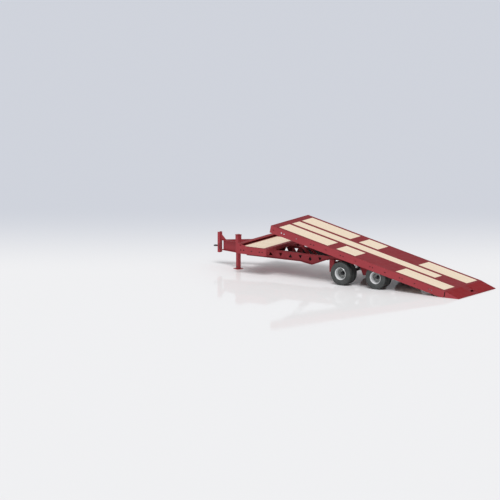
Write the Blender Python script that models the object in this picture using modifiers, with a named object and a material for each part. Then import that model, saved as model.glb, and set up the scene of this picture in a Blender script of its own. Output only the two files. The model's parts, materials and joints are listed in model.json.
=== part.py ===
"""Tilt trailer: a drawbar trailer whose bed tips back on a shaft between its two axles.

Metres, +Z up, +X forward to the drawbar, +Y to the trailer's left. The ground is at Z = 0.
Inside the script X = 0 is half way between the axles. The trailer's empty moves all of it so
that the origin lies under the middle of its length.
The bed is built level on the tilting shaft's axis and then turned to the tipped position.
"""
import math

import bmesh
import bpy
from mathutils import Matrix, Vector

# Whole trailer
DECK_WIDTH = 2.440
DECK_HEIGHT = 0.992
BED_TILT = math.radians(12.73)
SEAT_GAP = 0.0003
MOVE_GAP = 0.012
PIN_GAP = 0.0008
CUT_OVER = 0.020
WELD = 0.00001
ROUND_SIDES = 24
SMALL_SIDES = 12
TUBE_SIDES = 16
SIDES = (("left", 1), ("right", -1))

# Axles and wheels
AXLE_SPACING = 1.455
TYRE_RADIUS = 0.415
TYRE_WIDTH = 0.225
TYRE_SIDES = 20
RIM_SIDES = 16
TYRE_SIDE_GAP = 0.010
DUAL_PITCH = 0.270
BEAD_RADIUS = 0.205
BEAD_HALF_WIDTH = 0.082
TREAD_HALF_WIDTH = 0.070
FLANK_RADIUS = 0.310
FLANK_TUCK = 0.0075
SHOULDER_RADIUS = 0.375
FLANGE_SLOPE_SHARE = 0.56
RIM_FLANGE_RADIUS = 0.2225
RIM_FLANGE = 0.0075
RIM_INNER_RADIUS = 0.190
DISC_FACE = 0.045
DISC_FLAT_RADIUS = 0.120
DISC_DIP = 0.025
DISC_BACK = 0.030
HUB_NOSE_RADIUS = 0.055
HUB_NOSE_LENGTH = 0.165
DRUM_RADIUS = 0.168
DRUM_LENGTH = 0.150
AXLE_RADIUS = 0.0635
SPINDLE_RADIUS = 0.036
SPINDLE_REACH = 0.060
SPINDLE_GAP = 0.0009
SPINDLE_END_GAP = 0.005
AXLE_END_GAP = 0.015

# Tilting shaft, and the bed measured from it
PIVOT_BACK = 0.2325
PIVOT_HEIGHT = 0.600
PIVOT_RADIUS = 0.050
BED_FORWARD = 4.010
BED_LENGTH = 7.420
TIP_REACH = 4.033
TIP_THICKNESS = 0.012
GROUND_GAP = 0.0003

# Side channels of bed and front deck
SIDE_DEPTH = 0.262
SIDE_WEB = 0.010
SIDE_FLANGE = 0.010
BORDER_WIDTH = 0.127
LOWER_FLANGE_WIDTH = 0.070
WHEEL_ARCH_FRONT = 1.400
WHEEL_ARCH_BACK = 1.050
TIE_HOLE_RADIUS = 0.0235
TIE_HOLE_SPACING = 0.115
TIE_PITCH = 1.262
TIE_FIRST = 0.526
TIE_PAIRS = 6
SLOT_LENGTH = 0.070
SLOT_WIDTH = 0.026
SLOT_FIRST = 0.137
SLOT_SECOND = 1.110

# Bed floor, with its wood panels between steel strips
FLOOR_DEPTH = 0.045
PLATE_THICKNESS = 0.008
WOOD_GAP = 0.001
FRONT_BORDER = 0.2645
PANEL_ONE_END = 2.334
PANEL_TWO_START = 2.7015
PANEL_TWO_END = 3.513
PANEL_THREE_START = 5.242
PANEL_THREE_END = 7.316
CENTRE_PANEL_END = 6.370
INNER_PANEL_EDGE = 0.400
CENTRE_PANEL_HALF = 0.235
PLANK_GROOVE = 0.004
OUTER_PLANKS = 5
CENTRE_PLANKS = 3
WELL_FRONT = 0.200
WELL_BACK = 0.860
WELL_INNER = 0.620

# Bed frame
BEAM_SPACING = 0.635
BEAM_DEPTH = 0.183
BEAM_TOP_WIDTH = 0.165
BEAM_LOWER_WIDTH = 0.120
BEAM_WEB = 0.010
BEAM_FLANGE = 0.012
RIB_DEPTH = 0.076
RIB_WIDTH = 0.040
RIB_WALL = 0.006
RIB_PITCH = 0.406
RIB_FRONT_INSET = 0.180
HEADER_WALL = 0.010
HEADER_LIP = 0.060
EAR_RADIUS = 0.095
EAR_WIDTH = 0.040

# Tail, the knife edge that lies on the ground
TAIL_PLATE = 0.010
TAIL_RIB = 0.010
TAIL_RIBS = 7
TAIL_INSET = 0.006
TAIL_SLIT = 0.036
TAIL_WINDOW_LENGTH = 0.100
TAIL_WINDOW_WIDTH = 0.200
TAIL_WINDOW_BACK = 0.235

# Main frame rails
RAIL_SPACING = 1.030
RAIL_BOTTOM = 0.557
BELLY_START = 2.7775
BELLY_LOW = 2.3075
BELLY_BOTTOM = 0.483
SHALLOW_START = 1.5975
SHALLOW_BOTTOM = 0.750
RAIL_END_DEPTH = 0.034
RAIL_WEB = 0.010
RAIL_FLANGE = 0.012
RAIL_FLANGE_WIDTH = 0.100
TRIANGLE_PITCH = 0.410
TRIANGLE_FIRST = 1.9955
TRIANGLE_BASE = 0.150
TRIANGLE_HEIGHT = 0.125
TRIANGLES = 8
TRIANGLE_MIDDLE = 0.710
STEM_WIDTH = 0.060
STEM_LENGTH = 0.070

# Drawbar legs, coupler and eye
LEG_MEET = 6.4475
LEG_REAR_TOP = 0.970
LEG_REAR_BOTTOM = 0.580
LEG_FRONT_TOP = 0.885
LEG_FRONT_BOTTOM = 0.530
LEG_WEB = 0.012
LEG_FLANGE = 0.012
LEG_FLANGE_WIDTH = 0.090
COUPLER_DEPTH = 0.100
COUPLER_WIDTH = 0.150
COUPLER_WALL = 0.016
COUPLER_TOP = 1.167
COUPLER_BOTTOM = 0.441
GUSSET_LENGTH = 0.210
GUSSET_THICKNESS = 0.016
EYE_RING_RADIUS = 0.058
EYE_BAR_RADIUS = 0.021
EYE_SHANK_WIDTH = 0.070
EYE_SHANK_LENGTH = 0.120
EYE_NECK_SHARE = 0.95
EYE_PLATE_HEIGHT = 0.200
EYE_PLATE_WIDTH = 0.110
EYE_PLATE = 0.025
EYE_HEIGHT = 0.660

# Front deck
FRONT_DECK_REAR = 3.8015
FRONT_DECK_LENGTH = 1.213
FRONT_WOOD_START = 0.162
FRONT_WOOD_END = 0.202
FRONT_TIE_INSET = 0.221
FRONT_JOISTS = 4
FRONT_RAIL_RISE = 0.093
FRONT_RAIL_WIDTH = 0.150
FRONT_RAIL_WALL = 0.010
FRONT_RAIL_LIP = 0.030
FRONT_RAIL_FOOT = 0.060
FRONT_RAIL_SLOPE = 0.280
END_PLATE = 0.010
END_PLATE_PROUD = 0.001
LEG_SEAT_REACH = 0.060
FRONT_PLANKS = 9
JOIST_WIDTH = 0.060

# Jack
JACK_X = 5.460
JACK_SIZE = 0.150
JACK_WALL = 0.010
JACK_TOP = 1.220
JACK_BOTTOM = 0.575
JACK_LEG_SIZE = 0.118
JACK_LEG_TOP = 0.860
JACK_FOOT = 0.250
JACK_FOOT_THICKNESS = 0.020
JACK_COLLAR_DEPTH = 0.050
JACK_CAP = 0.170
JACK_CAP_THICKNESS = 0.016

# Springs and hangers
HANGER_FRONT = 1.5675
HANGER_BACK = 1.3675
HANGER_BOTTOM = 0.310
HANGER_WIDTH = 0.116
HANGER_WALL = 0.010
CENTRE_TOP_FRONT = 0.420
CENTRE_TOP_BACK = 0.470
CENTRE_KNEE = 0.2525
CENTRE_KNEE_HEIGHT = 0.540
CENTRE_LOW_FRONT = 0.1775
CENTRE_LOW_HALF = 0.140
CENTRE_BOTTOM = 0.330
CENTRE_BACK_HEIGHT = 0.520
CENTRE_PIVOT_REACH = 0.110
LEAF_LENGTH = 0.700
LEAF_THICKNESS = 0.013
LEAF_WIDTH = 0.076
LEAF_RISE = 0.016
LEAVES = 4
LEAF_STEPS = 5
LEAF_STEP_SHARE = 0.20
SPRING_HEIGHT = 0.482
ROCKER_LENGTH = 0.120
ROCKER_WIDTH = 0.070
ROCKER_DEPTH = 0.095
ROCKER_PIN_SHARE = 0.60
ROCKER_TOP_SHARE = 0.38
ROCKER_EDGE_SHARE = 0.25
ROCKER_PIN_RADIUS = 0.015
SEAT_LENGTH = 0.150
SEAT_WIDTH = 0.110
SEAT_PLATE = 0.016
ARM_RADIUS = 0.020
ARM_HEIGHT = 0.385
ARM_EYE_RADIUS = 0.034
ARM_EYE_WIDTH = 0.080
ARM_PIN_RADIUS = 0.012
ARM_PIN_INSET = 0.085
PIN_PROUD = 0.006

# Cross members of the main frame
CROSS_DEPTH = 0.100
CROSS_WIDTH = 0.060
CROSS_WALL = 0.010
CROSS_FRONT_INSET = 0.0845
CROSS_DECK_INSET = 0.1485
TUBE_RADIUS = 0.038
SHAFT_END_PROUD = 0.020
FRONT_TUBE_HEIGHT = 0.610
REAR_TUBE_HEIGHT = 0.350

# Lift cylinders
CYLINDER_SPACING = 0.370
CYLINDER_RADIUS = 0.0575
CYLINDER_WALL = 0.010
CYLINDER_LENGTH = 0.820
ROD_RADIUS = 0.028
CYLINDER_PIN_RADIUS = 0.020
CYLINDER_PIN_X = 2.450
CYLINDER_PIN_HEIGHT = 0.560
CYLINDER_BEAM_BACK = 0.130
CYLINDER_BEAM_HEIGHT = 0.583
CYLINDER_BEAM_DEPTH = 0.100
CYLINDER_BEAM_WIDTH = 0.080
CYLINDER_BASE = 0.050
GLAND_LENGTH = 0.020
ROD_START = 0.360
ROD_PIN_FORWARD = 3.830
ROD_PIN_RISE = 0.119
EYE_WIDTH = 0.050
EYE_WALL = 0.022
LUG_THICKNESS = 0.012
LUG_GAP = 0.004
LUG_MARGIN = 0.028
LUG_PLATE = 0.012
ROD_PIN_FREE_TRAVEL = 0.062
ROD_PIN_FREE_SLOPE = math.radians(-21)
ROD_PIN_REST_GAP = 0.001

# Worked out from the sizes above
HALF_WIDTH = DECK_WIDTH / 2
PIVOT_X = -PIVOT_BACK
DECK_RISE = DECK_HEIGHT - PIVOT_HEIGHT
FLOOR_TOP = DECK_RISE
FLOOR_BOTTOM = DECK_RISE - FLOOR_DEPTH
RIB_TOP = FLOOR_BOTTOM - SEAT_GAP
RIB_BOTTOM = RIB_TOP - SEAT_GAP - RIB_DEPTH
BEAM_TOP = RIB_BOTTOM - SEAT_GAP
BEAM_BOTTOM = BEAM_TOP - BEAM_DEPTH
SIDE_BOTTOM = DECK_RISE - SIDE_DEPTH
BED_REAR = BED_FORWARD - BED_LENGTH
PANEL_OUTER_EDGE = HALF_WIDTH - BORDER_WIDTH
SIDE_INNER = HALF_WIDTH - SIDE_WEB
BEAM_Y = BEAM_SPACING / 2
RAIL_Y = RAIL_SPACING / 2
AXLE_X = AXLE_SPACING / 2
CYLINDER_Y = CYLINDER_SPACING / 2
TYRE_FACE = HALF_WIDTH - SIDE_WEB - TYRE_SIDE_GAP
DUAL_Y = TYRE_FACE - TYRE_WIDTH / 2 - DUAL_PITCH / 2
FRONT_DECK_FRONT = FRONT_DECK_REAR + FRONT_DECK_LENGTH
RAIL_FRONT = FRONT_DECK_FRONT - HEADER_WALL - SEAT_GAP
CROSS_FRONT = FRONT_DECK_FRONT - CROSS_FRONT_INSET
CROSS_DECK = FRONT_DECK_REAR + CROSS_DECK_INSET
LEG_START = FRONT_DECK_FRONT + SEAT_GAP
COUPLER_BACK = LEG_MEET + SEAT_GAP
EYE_CENTRE = COUPLER_BACK + COUPLER_WALL + EYE_PLATE + EYE_SHANK_LENGTH + EYE_RING_RADIUS
EYE_FRONT = EYE_CENTRE + EYE_RING_RADIUS + EYE_BAR_RADIUS
LEG_ANGLE = math.atan2(RAIL_Y, LEG_MEET - LEG_START)


def ground_rise(forward):
    """Height over the shaft, in the bed's own frame, of the ground under a tipped bed."""
    drop = GROUND_GAP - PIVOT_HEIGHT
    return (drop - forward * math.sin(BED_TILT)) / math.cos(BED_TILT)


def tipped(forward, rise):
    """Place in the trailer of a point of the tipped bed, as (x, z)."""
    x = PIVOT_X + forward * math.cos(BED_TILT) - rise * math.sin(BED_TILT)
    z = PIVOT_HEIGHT + forward * math.sin(BED_TILT) + rise * math.cos(BED_TILT)
    return x, z


def clear_below_bed(x):
    """Highest place under the tipped bed's ribs at x, less the moving gap."""
    rise = RIB_BOTTOM / math.cos(BED_TILT) + (x - PIVOT_X) * math.tan(BED_TILT)
    return PIVOT_HEIGHT + rise - MOVE_GAP / math.cos(BED_TILT)


TIP_X = tipped(-TIP_REACH, ground_rise(-TIP_REACH))[0]
MIDDLE_X = (TIP_X + EYE_FRONT) / 2
RAIL_TOP = PIVOT_HEIGHT + RIB_BOTTOM - MOVE_GAP
RAIL_BEND = PIVOT_X + (RAIL_TOP - clear_below_bed(PIVOT_X)) / math.tan(BED_TILT)


# Scene, materials and small tools

for thing in list(bpy.data.objects):
    bpy.data.objects.remove(thing, do_unlink=True)

PARTS = bpy.data.collections.new("tilt_trailer")
CUTTERS = bpy.data.collections.new("cutters")
bpy.context.scene.collection.children.link(PARTS)
bpy.context.scene.collection.children.link(CUTTERS)

FINISHES = {
    "red_paint": ((0.36, 0.035, 0.045), 0.0, 0.38),
    "tail_paint": ((0.42, 0.012, 0.018), 0.0, 0.30),
    "deck_wood": ((0.80, 0.66, 0.44), 0.0, 0.65),
    "tyre_rubber": ((0.035, 0.036, 0.038), 0.0, 0.80),
    "wheel_silver": ((0.78, 0.79, 0.80), 0.6, 0.30),
    "axle_black": ((0.05, 0.05, 0.055), 0.2, 0.50),
    "bare_steel": ((0.62, 0.62, 0.63), 1.0, 0.22),
}


def finish(name, piece_name):
    """A piece's own material in one of the trailer's finishes."""
    colour, metallic, roughness = FINISHES[name]
    material = bpy.data.materials.new(piece_name)
    material.use_nodes = True
    shader = material.node_tree.nodes["Principled BSDF"]
    shader.inputs["Base Color"].default_value = (*colour, 1.0)
    shader.inputs["Metallic"].default_value = metallic
    shader.inputs["Roughness"].default_value = roughness
    return material


def empty(name, place, parent=None, turn=(0, 0, 0)):
    """A marker that carries the pieces of one body."""
    marker = bpy.data.objects.new(name, None)
    PARTS.objects.link(marker)
    marker.parent = parent
    marker.location = place
    marker.rotation_euler = turn
    return marker


def piece(name, mesh, parent, place=(0, 0, 0), paint="red_paint", turn=(0, 0, 0)):
    """One named piece of the trailer."""
    made = bpy.data.objects.new(name, mesh)
    PARTS.objects.link(made)
    made.parent = parent
    made.location = place
    made.rotation_euler = turn
    mesh.materials.clear()
    mesh.materials.append(finish(paint, name))
    return made


def helper(name, mesh, parent, place=(0, 0, 0), turn=(0, 0, 0)):
    """A cutter, or a part of a weldment, that a piece's modifiers read."""
    made = bpy.data.objects.new(name, mesh)
    CUTTERS.objects.link(made)
    made.parent = parent
    made.location = place
    made.rotation_euler = turn
    made.hide_render = True
    made.display_type = "WIRE"
    return made


def combine(made, other, operation):
    """Adds one exact Boolean of the other shape to a piece."""
    change = made.modifiers.new(other.name, "BOOLEAN")
    change.operation = operation
    change.solver = "EXACT"
    change.object = other


def weld_on(made, *others):
    for other in others:
        combine(made, other, "UNION")


def cut_out(made, *others):
    for other in others:
        combine(made, other, "DIFFERENCE")


def mesh_from(shape, name):
    """Ends a bmesh as a mesh datablock."""
    mesh = bpy.data.meshes.new(name)
    bmesh.ops.recalc_face_normals(shape, faces=shape.faces)
    shape.to_mesh(mesh)
    shape.free()
    return mesh


def box(name, size):
    shape = bmesh.new()
    bmesh.ops.create_cube(shape, size=1.0)
    bmesh.ops.scale(shape, vec=size, verts=shape.verts)
    return mesh_from(shape, name)


def boxes(name, corners):
    """Boxes between pairs of low and high corners, as one mesh."""
    shape = bmesh.new()
    for low, high in corners:
        size = [top - bottom for bottom, top in zip(low, high)]
        middle = [(top + bottom) / 2 for bottom, top in zip(low, high)]
        made = bmesh.ops.create_cube(shape, size=1.0)["verts"]
        bmesh.ops.scale(shape, vec=size, verts=made)
        bmesh.ops.translate(shape, vec=middle, verts=made)
    return mesh_from(shape, name)


TURN_TO = {
    "X": Matrix.Rotation(math.pi / 2, 4, "Y"),
    "Y": Matrix.Rotation(-math.pi / 2, 4, "X"),
    "Z": Matrix.Identity(4),
}


def rod(name, radius, length, along="Y", sides=ROUND_SIDES, end_radius=None):
    """A round bar centred on its own origin, or a taper if its far end differs."""
    shape = bmesh.new()
    bmesh.ops.create_cone(
        shape, cap_ends=True, segments=sides, radius1=radius,
        radius2=radius if end_radius is None else end_radius, depth=length
    )
    bmesh.ops.transform(shape, matrix=TURN_TO[along], verts=shape.verts)
    mesh = mesh_from(shape, name)
    mesh.shade_smooth()
    mesh.set_sharp_from_angle(angle=math.radians(40))
    return mesh


OUTLINE_TURN = {
    "side": Matrix.Rotation(math.pi / 2, 4, "X"),
    "section": Matrix(((0, 0, 1, 0), (1, 0, 0, 0), (0, 1, 0, 0), (0, 0, 0, 1))),
    "plan": Matrix.Identity(4),
}


def outline(name, loops, thickness, view):
    """Flat outlines side by side, each made as thick as told about its own plane.

    The loops hold (x, z) points in a side view, (y, z) in a section and (x, y) in plan.
    Each end is left as one face.
    """
    curve = bpy.data.curves.new(name, "CURVE")
    curve.dimensions = "2D"
    curve.fill_mode = "BOTH"
    curve.extrude = thickness / 2
    for loop in loops:
        spline = curve.splines.new("POLY")
        spline.points.add(len(loop) - 1)
        for point, (across, up) in zip(spline.points, loop):
            point.co = (across, up, 0, 1)
        spline.use_cyclic_u = True
    guide = bpy.data.objects.new(name, curve)
    CUTTERS.objects.link(guide)
    graph = bpy.context.evaluated_depsgraph_get()
    flat = bpy.data.meshes.new_from_object(guide.evaluated_get(graph))
    bpy.data.objects.remove(guide, do_unlink=True)
    shape = bmesh.new()
    shape.from_mesh(flat)
    bmesh.ops.remove_doubles(shape, verts=shape.verts, dist=WELD)
    caps = [face for face in shape.faces if len({corner.co.z > 0 for corner in face.verts}) == 1]
    bmesh.ops.delete(shape, geom=caps, context="FACES")
    bmesh.ops.holes_fill(shape, edges=[edge for edge in shape.edges if edge.is_boundary], sides=0)
    bmesh.ops.transform(shape, matrix=OUTLINE_TURN[view], verts=shape.verts)
    bpy.data.meshes.remove(flat)
    return mesh_from(shape, name)


def pattern(name, mesh, places):
    """Copies of one mesh at several places, as one mesh."""
    shape = bmesh.new()
    for place in places:
        before = set(shape.verts)
        shape.from_mesh(mesh)
        added = [corner for corner in shape.verts if corner not in before]
        bmesh.ops.translate(shape, vec=Vector(place), verts=added)
    return mesh_from(shape, name)


def turned(name, profile, parent, paint, sides, place=(0, 0, 0), turn=(0, 0, 0)):
    """A closed (radius, height) profile spun about the piece's own Z axis."""
    shape = bmesh.new()
    corners = [shape.verts.new((radius, 0, height)) for radius, height in profile]
    for first, second in zip(corners, corners[1:] + corners[:1]):
        if first.co.x > 0 or second.co.x > 0:
            shape.edges.new((first, second))
    mesh = bpy.data.meshes.new(name)
    shape.to_mesh(mesh)
    shape.free()
    made = piece(name, mesh, parent, place, paint, turn)
    spin = made.modifiers.new("spin", "SCREW")
    spin.steps = sides
    spin.render_steps = sides
    spin.use_merge_vertices = True
    spin.merge_threshold = WELD
    spin.use_smooth_shade = True
    return made


def rectangle(low, high):
    """Corners of a rectangle between two opposite ones."""
    return [low, (high[0], low[1]), high, (low[0], high[1])]


def circle(centre, radius, sides=ROUND_SIDES, start=0.0):
    angles = [start + 2 * math.pi * step / sides for step in range(sides)]
    return [(centre[0] + radius * math.cos(a), centre[1] + radius * math.sin(a)) for a in angles]


def slot_loop(centre, length, width, sides=SMALL_SIDES // 2):
    """A hole with round ends, lying along the first axis."""
    radius = width / 2
    reach = length / 2 - radius
    points = []
    for end in (1, -1):
        for step in range(sides + 1):
            angle = -math.pi / 2 + math.pi * step / sides
            across = centre[0] + end * (reach + radius * math.cos(angle))
            points.append((across, centre[1] + end * radius * math.sin(angle)))
    return points


def mirrored(points, side):
    """A section's points for one side of the trailer."""
    return [(side * across, up) for across, up in points]


def channel_section(width, depth, wall, lip_wall):
    """A C section open towards +: web on the axis, lips reaching to the width."""
    half = depth / 2
    return [
        (0, -half), (width, -half), (width, -half + lip_wall), (wall, -half + lip_wall),
        (wall, half - lip_wall), (width, half - lip_wall), (width, half), (0, half),
    ]


# The bodies' markers

TRAILER = empty("trailer", (-MIDDLE_X, 0, 0))
BED = empty("bed_turn", (PIVOT_X, 0, PIVOT_HEIGHT), TRAILER, (0, -BED_TILT, 0))
GROUND = helper(
    "ground_cut", box("ground_cut", (3 * BED_LENGTH, 2 * DECK_WIDTH, DECK_HEIGHT)),
    TRAILER, (PIVOT_X, 0, GROUND_GAP - DECK_HEIGHT / 2),
)


def meets_ground(rise):
    """Place along the tipped bed where a line this high over the shaft meets the ground."""
    drop = GROUND_GAP - PIVOT_HEIGHT
    return (drop - rise * math.cos(BED_TILT)) / math.sin(BED_TILT)


def side_section(top):
    """C section of a side channel, its web outside and its wide lip level with the deck."""
    low = top - SIDE_DEPTH
    return [
        (HALF_WIDTH, top), (PANEL_OUTER_EDGE, top),
        (PANEL_OUTER_EDGE, top - SIDE_FLANGE), (SIDE_INNER, top - SIDE_FLANGE),
        (SIDE_INNER, low + SIDE_FLANGE), (HALF_WIDTH - LOWER_FLANGE_WIDTH, low + SIDE_FLANGE),
        (HALF_WIDTH - LOWER_FLANGE_WIDTH, low), (HALF_WIDTH, low),
    ]


def tie_holes(name, pairs, slots):
    """Cutter for the pairs of round lashing holes and the slots between them."""
    bore = rod(name, TIE_HOLE_RADIUS, 3 * SIDE_WEB, sides=SMALL_SIDES)
    places = []
    for middle in pairs:
        places += [(middle + end * TIE_HOLE_SPACING / 2, 0, 0) for end in (1, -1)]
    round_ones = pattern(name, bore, places)
    oval = outline(name, [slot_loop((0, 0), SLOT_LENGTH, SLOT_WIDTH)], 3 * SIDE_WEB, "side")
    ovals = pattern(name, oval, [(middle, 0, 0) for middle in slots])
    shape = bmesh.new()
    shape.from_mesh(round_ones)
    shape.from_mesh(ovals)
    return mesh_from(shape, name)


def build_bed_side(name, side):
    """Side channel of the bed, its lower lip cut away over the wheels and the tail."""
    section = outline(name, [mirrored(side_section(DECK_RISE), side)], BED_LENGTH, "section")
    channel = piece(name, section, BED, ((BED_FORWARD + BED_REAR) / 2, 0, 0))
    arch_length = WHEEL_ARCH_FRONT + WHEEL_ARCH_BACK
    lip = LOWER_FLANGE_WIDTH - SIDE_WEB + CUT_OVER
    cope_y = side * (SIDE_INNER - lip / 2)
    arch_x = (WHEEL_ARCH_FRONT - WHEEL_ARCH_BACK) / 2
    arch = helper(name + "_arch", box(name, (arch_length, lip, 2 * CUT_OVER)), BED,
                  (arch_x, cope_y, SIDE_BOTTOM))
    cope = helper(name + "_cope", box(name, (2 * (HEADER_LIP + SEAT_GAP), lip, 2 * CUT_OVER)),
                  BED, (BED_FORWARD, cope_y, SIDE_BOTTOM))
    front = BED_FORWARD
    pairs = [front - TIE_FIRST - step * TIE_PITCH for step in range(TIE_PAIRS)]
    slots = [front - SLOT_FIRST]
    slots += [front - SLOT_SECOND - step * TIE_PITCH for step in range(TIE_PAIRS - 1)]
    holes = helper(name + "_holes", tie_holes(name, pairs, slots), BED,
                   (0, side * (HALF_WIDTH - SIDE_WEB / 2), DECK_RISE - SIDE_DEPTH / 2))
    cut_out(channel, arch, cope, GROUND, holes)


def beam_section(side):
    """I section of a main beam, the lower flange narrower than the upper."""
    half_top = BEAM_TOP_WIDTH / 2
    half_low = BEAM_LOWER_WIDTH / 2
    half_web = BEAM_WEB / 2
    points = [
        (-half_top, BEAM_TOP), (-half_top, BEAM_TOP - BEAM_FLANGE),
        (-half_web, BEAM_TOP - BEAM_FLANGE), (-half_web, BEAM_BOTTOM + BEAM_FLANGE),
        (-half_low, BEAM_BOTTOM + BEAM_FLANGE), (-half_low, BEAM_BOTTOM),
        (half_low, BEAM_BOTTOM), (half_low, BEAM_BOTTOM + BEAM_FLANGE),
        (half_web, BEAM_BOTTOM + BEAM_FLANGE), (half_web, BEAM_TOP - BEAM_FLANGE),
        (half_top, BEAM_TOP - BEAM_FLANGE), (half_top, BEAM_TOP),
    ]
    return [(across + side * BEAM_Y, up) for across, up in points]


def ear_loop(radius, reach_up, spread):
    """A hanging ear: flat across the top, round about the axis at its own origin."""
    steps = ROUND_SIDES // 2
    arc = [math.pi + math.pi * step / steps for step in range(steps + 1)]
    points = [(radius * math.cos(a), radius * math.sin(a)) for a in arc]
    return points + [(radius + spread, reach_up), (-radius - spread, reach_up)]


def turned_slot(centre, length, width, slope):
    """A round-ended hole down a slope, whose rear end stops the pin that rests at its centre."""
    points = slot_loop((LUG_GAP - ROD_PIN_REST_GAP + length / 2, 0), length + width, width)
    cos, sin = math.cos(slope), math.sin(slope)
    return [(centre[0] + x * cos - z * sin, centre[1] + x * sin + z * cos) for x, z in points]


def lug_places():
    """Y places of the two pairs of lugs that hold the lift cylinders' pins."""
    reach = EYE_WIDTH / 2 + LUG_GAP + LUG_THICKNESS / 2
    return [side * CYLINDER_Y + end * reach for _, side in SIDES for end in (1, -1)]


def rib_places():
    """Places along the bed of its cross ribs, front to rear."""
    first = BED_FORWARD - RIB_FRONT_INSET
    count = int((first - BED_REAR - RIB_WIDTH) / RIB_PITCH) + 1
    return [first - step * RIB_PITCH for step in range(count)]


def build_bed_beam(name, side):
    """Main beam under the ribs, with its ear on the tilting shaft."""
    front = BED_FORWARD - HEADER_LIP - SEAT_GAP
    section = outline(name, [beam_section(side)], front - BED_REAR, "section")
    beam = piece(name, section, BED, ((front + BED_REAR) / 2, 0, 0))
    loop = ear_loop(EAR_RADIUS, BEAM_BOTTOM + BEAM_FLANGE / 2, EAR_RADIUS)
    ear = helper(name + "_ear", outline(name, [loop], EAR_WIDTH, "side"), BED,
                 (0, side * BEAM_Y, 0))
    bore = helper(name + "_bore", rod(name, PIVOT_RADIUS + PIN_GAP, 2 * EAR_WIDTH), BED,
                  (0, side * BEAM_Y, 0))
    weld_on(beam, ear)
    cut_out(beam, bore, GROUND)


def build_bed_ribs():
    """Cross ribs of the bed, short over the wheels, tied into a grid over the main beams."""
    ends = rib_places()
    rear = ends[-1] + RIB_WALL / 2
    front = ends[0] + RIB_WIDTH / 2
    loops = [rectangle((side * BEAM_Y - BEAM_WEB / 2, RIB_BOTTOM + RIB_WALL / 2),
                       (side * BEAM_Y + BEAM_WEB / 2, RIB_TOP - SEAT_GAP - RIB_WALL / 2))
             for _, side in SIDES]
    grid = piece("bed_ribs", outline("bed_ribs", loops, front - rear, "section"), BED,
                 ((front + rear) / 2, 0, 0))
    rib_points = channel_section(RIB_WIDTH, RIB_DEPTH, RIB_WALL, RIB_WALL)
    wide = outline("rib", [rib_points], 2 * (SIDE_INNER - SEAT_GAP), "side")
    narrow = outline("short_rib", [rib_points], 2 * WELL_INNER, "side")
    middle = RIB_TOP - SEAT_GAP - RIB_DEPTH / 2
    over_wheels = [x for x in ends if -WELL_BACK < x < -WELL_FRONT + RIB_WIDTH]
    others = [x for x in ends if x not in over_wheels]
    shape = bmesh.new()
    shape.from_mesh(pattern("ribs", wide, [(x, 0, middle) for x in others]))
    shape.from_mesh(pattern("short_ribs", narrow, [(x, 0, middle) for x in over_wheels]))
    weld_on(grid, helper("ribs", mesh_from(shape, "ribs"), BED))


def build_bed_header():
    """Channel across the front of the bed, its lower part notched to come down over the rails."""
    points = channel_section(-HEADER_LIP, RIB_TOP - SIDE_BOTTOM, -HEADER_WALL, HEADER_WALL)
    mesh = outline("bed_header", [points], 2 * (SIDE_INNER - SEAT_GAP), "side")
    header = piece("bed_header", mesh, BED,
                   (BED_FORWARD, 0, (RIB_TOP + SIDE_BOTTOM) / 2 - SEAT_GAP))
    half = RAIL_FLANGE_WIDTH / 2 + MOVE_GAP
    notches = [((BED_FORWARD - 2 * HEADER_LIP, side * RAIL_Y - half, SIDE_BOTTOM - CUT_OVER),
                (BED_FORWARD + CUT_OVER, side * RAIL_Y + half, RIB_BOTTOM)) for _, side in SIDES]
    cut_out(header, helper("header_notches", boxes("header_notches", notches), BED))


def build_lug_member():
    """Plate between the main beams, with two pairs of slotted lugs for the lift rods' pins."""
    low = ROD_PIN_RISE - CYLINDER_PIN_RADIUS - LUG_MARGIN
    back = ROD_PIN_FORWARD - CYLINDER_PIN_RADIUS - LUG_MARGIN
    front = ROD_PIN_FORWARD + ROD_PIN_FREE_TRAVEL + CYLINDER_PIN_RADIUS + LUG_MARGIN
    top = BEAM_TOP - BEAM_FLANGE - SEAT_GAP
    width = 2 * (BEAM_Y - BEAM_WEB / 2 - SEAT_GAP)
    plate = outline("lug_member", [rectangle((back, top - LUG_PLATE), (front, top))], width, "side")
    member = piece("lug_member", plate, BED)
    inset = LUG_PLATE / 4
    opening = turned_slot((ROD_PIN_FORWARD, ROD_PIN_RISE), ROD_PIN_FREE_TRAVEL,
                          2 * (CYLINDER_PIN_RADIUS + LUG_GAP), ROD_PIN_FREE_SLOPE)
    lug_outer = [(back + inset, top - LUG_PLATE / 2), (back + inset, low + LUG_MARGIN),
                 (back + LUG_MARGIN, low), (front - inset, low - LUG_MARGIN / 2),
                 (front - inset, top - LUG_PLATE / 2)]
    lug = outline("rod_lug", [lug_outer], LUG_THICKNESS, "side")
    lugs = helper("rod_lugs", pattern("rod_lugs", lug, [(0, y, 0) for y in lug_places()]), BED)
    slots = helper("rod_slots", outline("rod_slots", [opening], BEAM_SPACING, "side"), BED)
    weld_on(member, lugs)
    cut_out(member, slots)


def panel_spans():
    """Name, start, end, inner and outer edge of each wood panel, from the bed's front edge."""
    outer = ((FRONT_BORDER, PANEL_ONE_END), (PANEL_TWO_START, PANEL_TWO_END),
             (PANEL_THREE_START, PANEL_THREE_END))
    spans = [("centre", FRONT_BORDER, CENTRE_PANEL_END, -CENTRE_PANEL_HALF, CENTRE_PANEL_HALF)]
    for name, side in SIDES:
        for place, (start, end) in zip(("front", "middle", "rear"), outer):
            edges = sorted((side * INNER_PANEL_EDGE, side * (PANEL_OUTER_EDGE - SEAT_GAP
                                                             - PLATE_THICKNESS / 2)))
            spans.append((f"{name}_{place}", start, end, edges[0], edges[1]))
    return spans


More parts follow.
